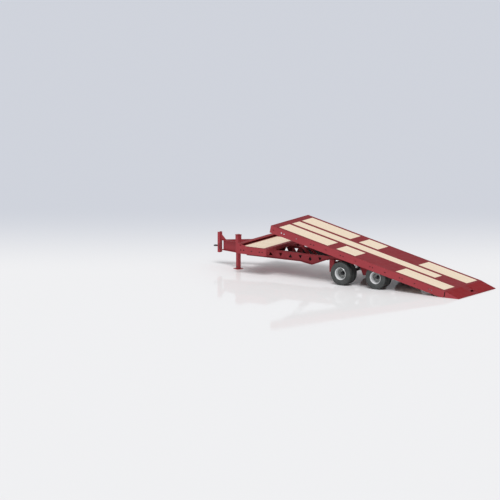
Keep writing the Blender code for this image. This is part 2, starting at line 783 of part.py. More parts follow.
def build_bed_floor():
    """Steel floor with a window for each wood panel, hollow under its plain stretches."""
    half = PANEL_OUTER_EDGE - SEAT_GAP
    size = (BED_LENGTH, 2 * half, FLOOR_DEPTH)
    floor = piece("bed_floor", box("bed_floor", size), BED,
                  ((BED_FORWARD + BED_REAR) / 2, 0, FLOOR_TOP - FLOOR_DEPTH / 2))
    windows = []
    for _, start, end, low, high in panel_spans():
        windows.append(((BED_FORWARD - end, low, FLOOR_BOTTOM - CUT_OVER),
                        (BED_FORWARD - start, high, FLOOR_TOP + CUT_OVER)))
    wall = PLATE_THICKNESS
    spans = [(HEADER_WALL, FRONT_BORDER, -half + wall, half - wall),
             (CENTRE_PANEL_END, PANEL_THREE_END, -CENTRE_PANEL_HALF, CENTRE_PANEL_HALF)]
    for _, side in SIDES:
        edges = sorted((side * (INNER_PANEL_EDGE + wall), side * (half - wall)))
        spans.append((PANEL_ONE_END, PANEL_TWO_START, edges[0], edges[1]))
        spans.append((PANEL_TWO_END, PANEL_THREE_START, edges[0], edges[1]))
    hollows = []
    for start, end, low, high in spans:
        hollows.append(((BED_FORWARD - end + wall, low, FLOOR_BOTTOM - CUT_OVER),
                        (BED_FORWARD - start - wall, high, FLOOR_TOP - PLATE_THICKNESS)))
    wells = []
    for _, side in SIDES:
        edges = sorted((side * (half - 2 * wall), side * (half + CUT_OVER)))
        wells.append(((-WELL_BACK, edges[0], FLOOR_BOTTOM - CUT_OVER),
                      (-WELL_FRONT, edges[1], FLOOR_TOP - PLATE_THICKNESS - wall / 2)))
    for name, spans in (("panel_windows", windows), ("floor_hollows", hollows),
                        ("wheel_wells", wells)):
        cut_out(floor, helper(name, boxes(name, spans), BED))


def plank_section(width, planks):
    """Section of a wood panel, with a narrow groove between its planks."""
    half = width / 2
    points = [(-half, -FLOOR_DEPTH / 2), (half, -FLOOR_DEPTH / 2), (half, FLOOR_DEPTH / 2)]
    top = FLOOR_DEPTH / 2
    for step in range(planks - 1, 0, -1):
        joint = -half + width * step / planks
        points += [(joint + PLANK_GROOVE / 2, top), (joint, top - PLANK_GROOVE),
                   (joint - PLANK_GROOVE / 2, top)]
    return points + [(-half, top)]


def build_panels():
    """The bed's wood panels, one piece for each window of the floor."""
    for name, start, end, low, high in panel_spans():
        planks = CENTRE_PLANKS if name == "centre" else OUTER_PLANKS
        section = plank_section(high - low - 2 * WOOD_GAP, planks)
        wood = outline("planks_" + name, [section], end - start - 2 * WOOD_GAP, "section")
        place = (BED_FORWARD - (start + end) / 2, (low + high) / 2, FLOOR_TOP - FLOOR_DEPTH / 2)
        piece("planks_" + name, wood, BED, place, "deck_wood")


def build_tail():
    """The sloping tail: a top plate on ribs whose lower edges lie flat on the ground."""
    front = BED_REAR - SEAT_GAP
    tip = -TIP_REACH
    tip_top = ground_rise(tip) + TIP_THICKNESS
    fall = (DECK_RISE - tip_top) / (front - tip)
    plate = [(front, DECK_RISE), (front, DECK_RISE - TAIL_PLATE),
             (tip, tip_top - TAIL_PLATE), (tip, tip_top)]
    width = 2 * (HALF_WIDTH - TAIL_INSET)
    tail = piece("tail", outline("tail", [plate], width, "side"), BED, paint="tail_paint")

    def rib_loop(start):
        skin = TAIL_PLATE / 2
        return [(start, ground_rise(start)), (start, DECK_RISE - (front - start) * fall - skin),
                (tip + skin, tip_top + fall * skin - skin), (tip + skin, ground_rise(tip + skin))]

    inner_reach = HALF_WIDTH - TAIL_INSET - BORDER_WIDTH
    spacing = 2 * inner_reach / (TAIL_RIBS - 1)
    inner = outline("tail_ribs", [rib_loop(front - TAIL_RIB / 2)], TAIL_RIB, "side")
    inner_places = [(0, -inner_reach + spacing * step, 0) for step in range(TAIL_RIBS)]
    ribs = helper("tail_ribs", pattern("tail_ribs", inner, inner_places), BED)
    outer = outline("tail_cheeks", [rib_loop(front - TAIL_SLIT)], TAIL_RIB, "side")
    cheek = HALF_WIDTH - TAIL_INSET - TAIL_RIB / 2
    cheeks = helper("tail_cheeks", pattern("tail_cheeks", outer,
                                           [(0, side * cheek, 0) for _, side in SIDES]), BED)
    low = ground_rise(front - TAIL_RIB)
    closing_size = (TAIL_RIB, 2 * inner_reach + TAIL_RIB, DECK_RISE - TAIL_PLATE / 2 - low)
    closing = helper("tail_closing", box("tail_closing", closing_size), BED,
                     (front - TAIL_RIB / 2, 0, low + closing_size[2] / 2))
    window_size = (TAIL_WINDOW_LENGTH, TAIL_WINDOW_WIDTH, SIDE_DEPTH)
    window = helper("tail_window", box("tail_window", window_size), BED,
                    (tip + TAIL_WINDOW_BACK, 0, DECK_RISE - SIDE_DEPTH / 2))
    weld_on(tail, ribs, cheeks, closing)
    cut_out(tail, window, GROUND)


for side_name, side_sign in SIDES:
    build_bed_side("bed_side_" + side_name, side_sign)
    build_bed_beam("bed_beam_" + side_name, side_sign)
build_bed_ribs()
build_bed_header()
build_lug_member()
build_bed_floor()
build_panels()
build_tail()


def rail_top(x):
    """Height of a main rail's top edge, level at the front and sloping under the tipped bed."""
    return min(RAIL_TOP, clear_below_bed(x))


def rail_low(x):
    """Height of the lower edge of a main rail behind its fish belly."""
    share = max(0, (RAIL_BEND - x) / (RAIL_BEND + HANGER_FRONT))
    end = clear_below_bed(-HANGER_FRONT) - RAIL_END_DEPTH
    return SHALLOW_BOTTOM + share * (end - SHALLOW_BOTTOM)


def rail_loop(trim, over):
    """Side outline of a main rail, drawn in by the trim and run past both ends."""
    top = [(RAIL_FRONT + over, RAIL_TOP), (RAIL_BEND, RAIL_TOP),
           (-HANGER_FRONT - over, rail_top(-HANGER_FRONT - over))]
    low = [(-HANGER_FRONT - over, rail_low(-HANGER_FRONT - over)), (RAIL_BEND, SHALLOW_BOTTOM),
           (SHALLOW_START, SHALLOW_BOTTOM), (BELLY_LOW, BELLY_BOTTOM), (BELLY_START, RAIL_BOTTOM),
           (RAIL_FRONT + over, RAIL_BOTTOM)]
    return [(x, z - trim) for x, z in top] + [(x, z + trim) for x, z in low]


def triangle_loops():
    """The openings in a rail's web: triangles by turns point up and down, one on a stem."""
    loops = []
    half = TRIANGLE_BASE / 2
    reach = TRIANGLE_HEIGHT / 2
    for step in range(TRIANGLES):
        x = TRIANGLE_FIRST + step * TRIANGLE_PITCH
        up = 1 if step % 2 else -1
        base = TRIANGLE_MIDDLE - up * reach
        loops.append([(x - half, base), (x + half, base), (x, base + up * TRIANGLE_HEIGHT)])
    stem_x = TRIANGLE_FIRST + TRIANGLE_PITCH
    stem_top = TRIANGLE_MIDDLE - reach + STEM_LENGTH / 2
    stem = rectangle((stem_x - STEM_WIDTH / 2, stem_top - STEM_LENGTH),
                     (stem_x + STEM_WIDTH / 2, stem_top))
    return loops, stem


def hanger(name, loop, side, pockets):
    """A spring hanger: two side plates with a pocket between them for the spring's end."""
    y = side * RAIL_Y
    made = helper(name, outline(name, [loop], HANGER_WIDTH, "side"), TRAILER, (0, y, 0))
    half = HANGER_WIDTH / 2 - HANGER_WALL
    for count, (back, front, low, high) in enumerate(pockets):
        cutter = boxes(f"{name}_pocket_{count}", [((back, y - half, low), (front, y + half, high))])
        cut_out(made, helper(f"{name}_pocket_{count}", cutter, TRAILER))
    return made


def leaf_rise(x):
    """How far a spring's leaves have bent up at this distance from its middle."""
    return LEAF_RISE * (x / LEAF_LENGTH) ** 2


LEAF_PACK = LEAVES * LEAF_THICKNESS
SPRING_END_TOP = SPRING_HEIGHT + LEAF_PACK + LEAF_RISE
FRONT_PIN_X = HANGER_FRONT - ARM_PIN_INSET
CENTRE_PIN_X = -CENTRE_LOW_HALF / 2
ROCKER_PIN_Z = SPRING_END_TOP + SEAT_GAP + ROCKER_DEPTH * ROCKER_PIN_SHARE


def build_rail(name, side):
    """Main frame rail: a pierced fish-bellied I section with the spring hangers under it."""
    y = side * RAIL_Y
    rail = piece(name, outline(name, [rail_loop(0, 0)], RAIL_FLANGE_WIDTH, "side"), TRAILER,
                 (0, y, 0))
    deep = (RAIL_FLANGE_WIDTH - RAIL_WEB) / 2 + CUT_OVER
    hollow = outline("hollow", [rail_loop(RAIL_FLANGE, CUT_OVER)], deep, "side")
    away = RAIL_WEB / 2 + deep / 2
    hollows = helper(name + "_hollows", pattern("hollows", hollow, [(0, -away, 0), (0, away, 0)]),
                     TRAILER, (0, y, 0))
    triangles, stem = triangle_loops()
    pierce = helper(name + "_triangles",
                    outline("triangles", triangles, RAIL_FLANGE_WIDTH - RAIL_FLANGE, "side"),
                    TRAILER, (0, y, 0))
    stem_cut = helper(name + "_stem", outline("stem", [stem], RAIL_FLANGE_WIDTH - RAIL_FLANGE,
                                              "side"), TRAILER, (0, y, 0))
    cut_out(rail, hollows, pierce, stem_cut)

    lap = RAIL_FLANGE / 2
    top = SHALLOW_BOTTOM + lap
    over = CUT_OVER
    low = HANGER_BOTTOM - over
    shelf = SPRING_END_TOP + SEAT_GAP
    front_loop = rectangle((HANGER_BACK, HANGER_BOTTOM), (HANGER_FRONT, top))
    front = hanger(name + "_front_hanger", front_loop, side, [
        (HANGER_BACK - over, HANGER_FRONT - HANGER_WALL, low, shelf),
        (HANGER_BACK - over, HANGER_FRONT + over, shelf + 2 * HANGER_WALL, top - 2 * HANGER_WALL),
    ])
    rear_loop = [(-HANGER_BACK, rail_low(-HANGER_BACK) + lap), (-HANGER_BACK, HANGER_BOTTOM),
                 (-HANGER_FRONT, HANGER_BOTTOM), (-HANGER_FRONT, rail_low(-HANGER_FRONT) + lap)]
    rear = hanger(name + "_rear_hanger", rear_loop, side, [
        (-HANGER_FRONT + HANGER_WALL, -HANGER_BACK + over, low, shelf),
    ])
    slant_back = PIVOT_X - CENTRE_PIVOT_REACH
    centre_loop = [(CENTRE_TOP_FRONT, top), (CENTRE_KNEE, CENTRE_KNEE_HEIGHT),
                   (CENTRE_LOW_FRONT, CENTRE_BOTTOM), (-CENTRE_LOW_HALF, CENTRE_BOTTOM),
                   (slant_back, CENTRE_BACK_HEIGHT), (-CENTRE_TOP_BACK, top)]
    centre = hanger(name + "_centre_hanger", centre_loop, side, [
        (-CENTRE_TOP_BACK - over, CENTRE_TOP_FRONT + over, low, top - 2 * HANGER_WALL),
    ])
    weld_on(rail, front, rear, centre)
    shaft = rod("shaft_hole", PIVOT_RADIUS + SEAT_GAP, 2 * HANGER_WIDTH, sides=ROUND_SIDES)
    small = rod("rocker_hole", ROCKER_PIN_RADIUS + SEAT_GAP, 2 * HANGER_WIDTH, sides=SMALL_SIDES)
    arm = rod("arm_hole", ARM_PIN_RADIUS + SEAT_GAP, 2 * HANGER_WIDTH, sides=SMALL_SIDES)
    for hole, places in ((shaft, [(PIVOT_X, PIVOT_HEIGHT)]), (small, [(0, ROCKER_PIN_Z)]),
                         (arm, [(FRONT_PIN_X, ARM_HEIGHT), (CENTRE_PIN_X, ARM_HEIGHT)])):
        cut_out(rail, helper(f"{name}_{hole.name}", pattern(hole.name, hole,
                                                            [(x, 0, z) for x, z in places]),
                             TRAILER, (0, y, 0)))


def build_cross_members():
    """Channels and tubes between the two main rails."""
    reach = RAIL_Y - RAIL_WEB / 2 - SEAT_GAP
    section = channel_section(-CROSS_WIDTH, CROSS_DEPTH, -CROSS_WALL, CROSS_WALL)
    middle = RAIL_BOTTOM + RAIL_FLANGE + SEAT_GAP + CROSS_DEPTH / 2
    for name, x in (("cross_member_front", CROSS_FRONT), ("cross_member_deck", CROSS_DECK)):
        piece(name, outline(name, [section], 2 * reach, "side"), TRAILER, (x, 0, middle))
    between = 2 * (RAIL_Y - HANGER_WIDTH / 2 - SEAT_GAP)
    tube_x = (HANGER_FRONT + HANGER_BACK) / 2
    for name, x, z in (("hanger_tube_front", tube_x, FRONT_TUBE_HEIGHT),
                       ("hanger_tube_rear", -tube_x, REAR_TUBE_HEIGHT)):
        piece(name, rod(name, TUBE_RADIUS, between, sides=TUBE_SIDES), TRAILER, (x, 0, z))
    shaft = 2 * (RAIL_Y + HANGER_WIDTH / 2 + SHAFT_END_PROUD)
    piece("pivot_shaft", rod("pivot_shaft", PIVOT_RADIUS, shaft), TRAILER,
          (PIVOT_X, 0, PIVOT_HEIGHT), "axle_black")


def build_cylinder_beam():
    """Cross channel with two pairs of lugs and the pins on which the lift cylinders turn."""
    reach = RAIL_Y - RAIL_WEB / 2 - SEAT_GAP
    section = channel_section(-CYLINDER_BEAM_WIDTH, CYLINDER_BEAM_DEPTH, -CROSS_WALL, CROSS_WALL)
    beam = piece("cylinder_beam", outline("cylinder_beam", [section], 2 * reach, "side"), TRAILER,
                 (CYLINDER_PIN_X - CYLINDER_BEAM_BACK, 0, CYLINDER_BEAM_HEIGHT))
    end = CYLINDER_PIN_RADIUS + EYE_WALL - LUG_GAP
    root = -CYLINDER_BEAM_BACK - CROSS_WALL / 2
    steps = SMALL_SIDES // 2
    arc = [math.pi / 2 - math.pi * step / steps for step in range(steps + 1)]
    loop = [(end * math.cos(a), end * math.sin(a)) for a in arc]
    half = CYLINDER_BEAM_DEPTH / 2 - CROSS_WALL / 2
    offset = CYLINDER_BEAM_HEIGHT - CYLINDER_PIN_HEIGHT
    lug = outline("lug", [loop + [(root, offset - half), (root, offset + half)]],
                  LUG_THICKNESS, "side")
    place = (CYLINDER_PIN_X, 0, CYLINDER_PIN_HEIGHT)
    lugs = helper("lugs", pattern("lugs", lug, [(0, y, 0) for y in lug_places()]), TRAILER, place)
    pin = rod("pin", CYLINDER_PIN_RADIUS, EYE_WIDTH + 2 * (LUG_GAP + LUG_THICKNESS + PIN_PROUD),
              sides=TUBE_SIDES)
    pins = helper("base_pins", pattern("base_pins", pin,
                                       [(0, side * CYLINDER_Y, 0) for _, side in SIDES]),
                  TRAILER, place)
    weld_on(beam, lugs, pins)


def build_spring(name, end, side):
    """Leaf spring: a pack of leaves, each shorter than the one above it."""
    top = [(LEAF_LENGTH * (step / LEAF_STEPS - 1), LEAF_PACK) for step in range(2 * LEAF_STEPS + 1)]
    right = []
    for leaf in range(LEAVES):
        reach = LEAF_LENGTH * (1 - leaf * LEAF_STEP_SHARE)
        under = LEAF_PACK - leaf * LEAF_THICKNESS
        if leaf:
            right.append((reach, under))
        right.append((reach, under - LEAF_THICKNESS))
    left = [(-x, z) for x, z in reversed(right)]
    loop = [(x, z + leaf_rise(x)) for x, z in top + right + left]
    piece(name, outline(name, [loop], LEAF_WIDTH, "side"), TRAILER,
          (end * AXLE_X, side * RAIL_Y, SPRING_HEIGHT), "axle_black")


def build_rocker(name, side):
    """Equaliser rocker that rests on the inner ends of both springs, with its pin."""
    top_half = ROCKER_LENGTH * ROCKER_TOP_SHARE
    edge = ROCKER_DEPTH * ROCKER_EDGE_SHARE
    loop = [(-ROCKER_LENGTH, 0), (ROCKER_LENGTH, 0), (ROCKER_LENGTH, edge),
            (top_half, ROCKER_DEPTH), (-top_half, ROCKER_DEPTH), (-ROCKER_LENGTH, edge)]
    low = SPRING_END_TOP + SEAT_GAP
    rocker = piece(name, outline(name, [loop], ROCKER_WIDTH, "side"), TRAILER,
                   (0, side * RAIL_Y, low), "axle_black")
    pin = rod("rocker_pin", ROCKER_PIN_RADIUS, HANGER_WIDTH + 2 * PIN_PROUD, sides=SMALL_SIDES)
    weld_on(rocker, helper(name + "_pin", pin, TRAILER, (0, side * RAIL_Y, ROCKER_PIN_Z)))


def build_axle(name, end):
    """Axle tube with its spindles, spring seats and the torque arms that lead to the hangers."""
    x = end * AXLE_X
    tube_end = DUAL_Y - DRUM_LENGTH - AXLE_END_GAP
    axle = piece(name, rod(name, AXLE_RADIUS, 2 * tube_end, sides=TUBE_SIDES), TRAILER,
                 (x, 0, TYRE_RADIUS), "axle_black")
    spindle = rod("spindle", SPINDLE_RADIUS, 2 * (DUAL_Y - SPINDLE_REACH), sides=TUBE_SIDES)
    spindles = helper(name + "_spindles", spindle, TRAILER, (x, 0, TYRE_RADIUS))
    pin_x = FRONT_PIN_X if end > 0 else CENTRE_PIN_X
    seat_z = SPRING_HEIGHT - SEAT_GAP - SEAT_PLATE / 2
    seat = box("seat", (SEAT_LENGTH, SEAT_WIDTH, SEAT_PLATE))
    arm = rod("arm", ARM_RADIUS, pin_x - x, along="X", sides=SMALL_SIDES)
    eye = rod("arm_eye", ARM_EYE_RADIUS, ARM_EYE_WIDTH, sides=SMALL_SIDES)
    pin = rod("arm_pin", ARM_PIN_RADIUS, HANGER_WIDTH + 2 * PIN_PROUD, sides=SMALL_SIDES)
    both = [(0, side * RAIL_Y, 0) for _, side in SIDES]
    weld_on(axle, spindles)
    for part_name, mesh, part_x, z in (("seats", seat, x, seat_z),
                                       ("arms", arm, (x + pin_x) / 2, ARM_HEIGHT),
                                       ("arm_eyes", eye, pin_x, ARM_HEIGHT),
                                       ("arm_pins", pin, pin_x, ARM_HEIGHT)):
        name_here = f"{name}_{part_name}"
        weld_on(axle, helper(name_here, pattern(name_here, mesh, both), TRAILER, (part_x, 0, z)))


def tyre_profile(middle):
    """Half section of a tyre about its own middle plane, from the outer side round."""
    flank = TYRE_WIDTH / 2
    half = [(TYRE_RADIUS, TREAD_HALF_WIDTH),
            (SHOULDER_RADIUS + (TYRE_RADIUS - SHOULDER_RADIUS) / 2, (TREAD_HALF_WIDTH + flank) / 2),
            (SHOULDER_RADIUS, flank - FLANK_TUCK), (FLANK_RADIUS, flank),
            (BEAD_RADIUS, BEAD_HALF_WIDTH)]
    whole = [(r, z) for r, z in reversed(half)] + [(r, -z) for r, z in half]
    grown = 1 / math.cos(math.pi / TYRE_SIDES)
    return [(r * grown if r > BEAD_RADIUS else r, middle + z) for r, z in whole]


def rim_profile():
    """Both rims of a twin wheel, the dished discs between them, the hub nose and the drum."""
    half_pitch = DUAL_PITCH / 2
    seat = BEAD_RADIUS * math.cos(math.pi / TYRE_SIDES) - SEAT_GAP
    flange_slope = (RIM_FLANGE_RADIUS - seat) * FLANGE_SLOPE_SHARE
    bead = BEAD_HALF_WIDTH + SEAT_GAP
    face = bead + flange_slope
    outer = half_pitch + face + RIM_FLANGE
    points = [(HUB_NOSE_RADIUS, DISC_FACE), (DISC_FLAT_RADIUS, DISC_FACE),
              (RIM_INNER_RADIUS - RIM_FLANGE, DISC_FACE - DISC_DIP), (RIM_INNER_RADIUS, DISC_FACE),
              (RIM_INNER_RADIUS, outer), (RIM_FLANGE_RADIUS, outer),
              (RIM_FLANGE_RADIUS, half_pitch + face), (seat, half_pitch + bead),
              (seat, half_pitch - bead), (RIM_FLANGE_RADIUS, half_pitch - face)]
    back = [(r, -z) for r, z in reversed(points[4:])]
    drum = [(RIM_INNER_RADIUS, -DISC_BACK), (DRUM_RADIUS, -DISC_BACK), (DRUM_RADIUS, -DRUM_LENGTH),
            (SPINDLE_RADIUS + SPINDLE_GAP, -DRUM_LENGTH),
            (SPINDLE_RADIUS + SPINDLE_GAP, -SPINDLE_REACH + SPINDLE_END_GAP),
            (0, -SPINDLE_REACH + SPINDLE_END_GAP)]
    nose = [(0, HUB_NOSE_LENGTH), (HUB_NOSE_RADIUS, HUB_NOSE_LENGTH)]
    return nose + points + back + drum


def build_wheel(place_name, end, side):
    """A twin wheel: two tyres on one pair of rims, turning together on the axle's end."""
    marker = empty("wheel_" + place_name, (end * AXLE_X, side * DUAL_Y, TYRE_RADIUS), TRAILER,
                   (-side * math.pi / 2, 0, 0))
    flat_down = (0, 0, math.pi / TYRE_SIDES)
    for name, way in (("outer", 1), ("inner", -1)):
        turned(f"tyre_{name}_{place_name}", tyre_profile(way * DUAL_PITCH / 2), marker,
               "tyre_rubber", TYRE_SIDES, turn=flat_down)
    turned(f"rim_{place_name}", rim_profile(), marker, "wheel_silver", RIM_SIDES)


for side_name, side_sign in SIDES:
    build_rail("frame_rail_" + side_name, side_sign)
    build_rocker("rocker_" + side_name, side_sign)
    for end_name, end_sign in (("front", 1), ("rear", -1)):
        build_spring(f"spring_{end_name}_{side_name}", end_sign, side_sign)
        build_wheel(f"{end_name}_{side_name}", end_sign, side_sign)
build_cross_members()
build_cylinder_beam()
build_axle("axle_front", 1)
build_axle("axle_rear", -1)


# Drawbar, front deck, jack and lift cylinders

DECK_REAR = FRONT_DECK_REAR
DECK_FRONT = FRONT_DECK_FRONT
LEG_LENGTH = (LEG_MEET - LEG_START) / math.cos(LEG_ANGLE)
LEG_INNER = -LEG_FLANGE_WIDTH / 2
JACK_ALONG = (JACK_X - LEG_START) / math.cos(LEG_ANGLE)
JACK_OUT = LEG_INNER + LEG_WEB + SEAT_GAP + JACK_SIZE / 2


def leg_edge(along, top):
    """Height of a drawbar leg's top or bottom edge at a place along it."""
    share = along / LEG_LENGTH
    rear, front = (LEG_REAR_TOP, LEG_FRONT_TOP) if top else (LEG_REAR_BOTTOM, LEG_FRONT_BOTTOM)
    return rear + share * (front - rear)


def leg_loop(trim, over):
    """Side outline of a drawbar leg, drawn in by the trim and run past both ends."""
    start = -over
    end = LEG_LENGTH + over
    return [(start, leg_edge(start, False) + trim), (end, leg_edge(end, False) + trim),
            (end, leg_edge(end, True) - trim), (start, leg_edge(start, True) - trim)]


def build_leg(name, side, frame):
    """Tapered channel of the drawbar, its web inside, cut off at the deck and at the coupler."""
    over = LEG_FLANGE_WIDTH
    leg = piece(name, outline(name, [leg_loop(0, over)], LEG_FLANGE_WIDTH, "side"), frame)
    deep = LEG_FLANGE_WIDTH - LEG_WEB + CUT_OVER
    hollow = outline("leg_hollow", [leg_loop(LEG_FLANGE, 2 * over)], deep, "side")
    hollow_y = side * (LEG_INNER + LEG_WEB + deep / 2)
    high = 2 * LEG_REAR_TOP
    wide = 2 * RAIL_Y
    ends = boxes("leg_ends", [((LEG_START - wide, -wide, 0), (LEG_START, wide, high)),
                              ((LEG_MEET, -wide, 0), (LEG_MEET + wide, wide, high))])
    middle = sorted((side * SEAT_GAP / 2, -side * wide))
    across = boxes("leg_middle", [((LEG_START + wide / 2, middle[0], 0),
                                   (LEG_MEET + wide / 2, middle[1], high))])
    cut_out(leg, helper(name + "_hollow", hollow, frame, (0, hollow_y, 0)),
            helper(name + "_ends", ends, TRAILER), helper(name + "_middle", across, TRAILER))
    if side > 0:
        room = JACK_SIZE / 2 + SEAT_GAP
        notch = box("jack_notch", (2 * room, 2 * room, high))
        cut_out(leg, helper("jack_notch", notch, frame, (JACK_ALONG, JACK_OUT, high / 2)))


def build_coupler():
    """Upright channel at the drawbar's nose, with the gusset behind it and the towing eye."""
    half = COUPLER_WIDTH / 2
    inner = half - COUPLER_WALL
    loop = [(0, -half), (COUPLER_DEPTH, -half), (COUPLER_DEPTH, -inner), (COUPLER_WALL, -inner),
            (COUPLER_WALL, inner), (COUPLER_DEPTH, inner), (COUPLER_DEPTH, half), (0, half)]
    plate = piece("coupler_plate", outline("coupler_plate", [loop], COUPLER_TOP - COUPLER_BOTTOM,
                                           "plan"), TRAILER,
                  (COUPLER_BACK, 0, (COUPLER_TOP + COUPLER_BOTTOM) / 2))
    lap = COUPLER_WALL / 2
    back = LEG_LENGTH - GUSSET_LENGTH
    gusset = [(lap, leg_edge(LEG_LENGTH, True) + SEAT_GAP),
              (lap, COUPLER_TOP - COUPLER_DEPTH / 2), (0, COUPLER_TOP - COUPLER_DEPTH / 2),
              (-GUSSET_LENGTH, leg_edge(back, True) + 2 * SEAT_GAP + GUSSET_THICKNESS / 2),
              (-GUSSET_LENGTH, leg_edge(back, True) + 2 * SEAT_GAP)]
    weld_on(plate, helper("gusset", outline("gusset", [gusset], GUSSET_THICKNESS, "side"),
                          TRAILER, (COUPLER_BACK, 0, 0)))

    ring = circle((EYE_RING_RADIUS, 0), EYE_BAR_RADIUS, SMALL_SIDES)
    eye = turned("drawbar_eye", ring[::-1], TRAILER, "axle_black", TUBE_SIDES,
                 (EYE_CENTRE, 0, EYE_HEIGHT))
    plate_back = COUPLER_BACK + COUPLER_WALL + SEAT_GAP
    mount = box("eye_plate", (EYE_PLATE, EYE_PLATE_WIDTH, EYE_PLATE_HEIGHT))
    shank_end = EYE_CENTRE - EYE_RING_RADIUS
    shank_start = plate_back + EYE_PLATE / 2
    shank = rod("eye_shank", EYE_SHANK_WIDTH / 2, shank_end - shank_start, "X", TUBE_SIDES,
                EYE_BAR_RADIUS * EYE_NECK_SHARE)
    weld_on(eye, helper("eye_shank", shank, TRAILER,
                        ((shank_start + shank_end) / 2, 0, EYE_HEIGHT)),
            helper("eye_plate", mount, TRAILER, (plate_back + EYE_PLATE / 2, 0, EYE_HEIGHT)))


def build_front_deck():
    """Fixed deck ahead of the bed: side channels, headers and joists round a wood panel."""
    top = DECK_HEIGHT
    lip = DECK_HEIGHT - SIDE_DEPTH
    over = CUT_OVER
    half = HALF_WIDTH
    rear = DECK_REAR + HEADER_WALL
    front = DECK_FRONT - HEADER_WALL
    seat = RAIL_TOP + SEAT_GAP
    size = (FRONT_DECK_LENGTH, DECK_WIDTH, top - RAIL_BOTTOM)
    deck = piece("front_deck_frame", box("front_deck_frame", size), TRAILER,
                 ((DECK_REAR + DECK_FRONT) / 2, 0, (top + RAIL_BOTTOM) / 2))
    leg_seat = RAIL_Y + LEG_SEAT_REACH
    inner_lip = half - LOWER_FLANGE_WIDTH
    floor = top - PLATE_THICKNESS
    wood_start = DECK_REAR + FRONT_WOOD_START
    wood_end = DECK_FRONT - FRONT_WOOD_END
    below = RAIL_BOTTOM - over
    pitch = (front - rear + JOIST_WIDTH) / (FRONT_JOISTS + 1)
    bays = []
    for step in range(FRONT_JOISTS + 1):
        start = rear + step * pitch
        bays.append(((start, -SIDE_INNER, seat - over),
                     (start + pitch - JOIST_WIDTH, SIDE_INNER, floor)))
    voids = {
        "deck_below": [((DECK_REAR - over, -half - over, below), (front, half + over, lip))],
        "deck_corners": [((DECK_REAR - over, side * leg_seat, below),
                          (DECK_FRONT + over, side * (half + over), lip)) for _, side in SIDES],
        "deck_inner": [((DECK_REAR - over, -inner_lip, below), (front, inner_lip, seat))],
        "deck_channels": [((rear, side * (inner_lip - over), lip + SIDE_FLANGE),
                           (front, side * SIDE_INNER, seat)) for _, side in SIDES],
        "deck_bays": bays,
        "deck_window": [((wood_start, -PANEL_OUTER_EDGE, top - FLOOR_DEPTH - SEAT_GAP),
                         (wood_end, PANEL_OUTER_EDGE, top + over))],
    }
    for name, spans in voids.items():
        cut_out(deck, helper(name, boxes(name, spans), TRAILER))
    pairs = [DECK_REAR + FRONT_TIE_INSET, DECK_FRONT - FRONT_TIE_INSET]
    slots = [(DECK_REAR + DECK_FRONT) / 2]
    for name, side in SIDES:
        holes = tie_holes("deck_holes_" + name, pairs, slots)
        cut_out(deck, helper("deck_holes_" + name, holes, TRAILER,
                             (0, side * (half - SIDE_WEB / 2), top - SIDE_DEPTH / 2)))
    section = plank_section(2 * (PANEL_OUTER_EDGE - WOOD_GAP), FRONT_PLANKS)
    length = wood_end - wood_start - 2 * WOOD_GAP
    piece("front_deck_planks", outline("front_deck_planks", [section], length, "section"),
          TRAILER, ((wood_start + wood_end) / 2, 0, top - FLOOR_DEPTH / 2), "deck_wood")


def build_front_rail():
    """Low head rail across the front deck, its end plates sloping down to the deck."""
    rise = FRONT_RAIL_RISE
    wall = FRONT_RAIL_WALL
    wide = FRONT_RAIL_WIDTH
    section = [(0, 0), (0, rise), (-wide, rise), (-wide, rise - FRONT_RAIL_LIP),
               (wall - wide, rise - FRONT_RAIL_LIP), (wall - wide, rise - wall),
               (-wall, rise - wall), (-wall, wall), (-FRONT_RAIL_FOOT, wall), (-FRONT_RAIL_FOOT, 0)]
    rail = piece("front_rail", outline("front_rail", [section], DECK_WIDTH - END_PLATE, "side"),
                 TRAILER, (DECK_FRONT - END_PLATE_PROUD, 0,
                           DECK_HEIGHT + SEAT_GAP + END_PLATE_PROUD))
    top = rise + 2 * END_PLATE_PROUD
    loop = [(0, 0), (0, top), (-wide, top), (-wide - FRONT_RAIL_SLOPE, wall),
            (-wide - FRONT_RAIL_SLOPE, 0)]
    plate = outline("end_plates", [loop], END_PLATE, "side")
    y = HALF_WIDTH - END_PLATE / 2
    plates = helper("end_plates", pattern("end_plates", plate, [(0, -y, 0), (0, y, 0)]), TRAILER,
                    (DECK_FRONT, 0, DECK_HEIGHT + SEAT_GAP))
    oval = outline("end_ovals", [slot_loop((-wide, rise / 2), SLOT_LENGTH, SLOT_WIDTH)],
                   3 * END_PLATE, "side")
    ovals = helper("end_ovals", pattern("end_ovals", oval, [(0, -y, 0), (0, y, 0)]), TRAILER,
                   (DECK_FRONT, 0, DECK_HEIGHT + SEAT_GAP))
    weld_on(rail, plates)
    cut_out(rail, ovals)


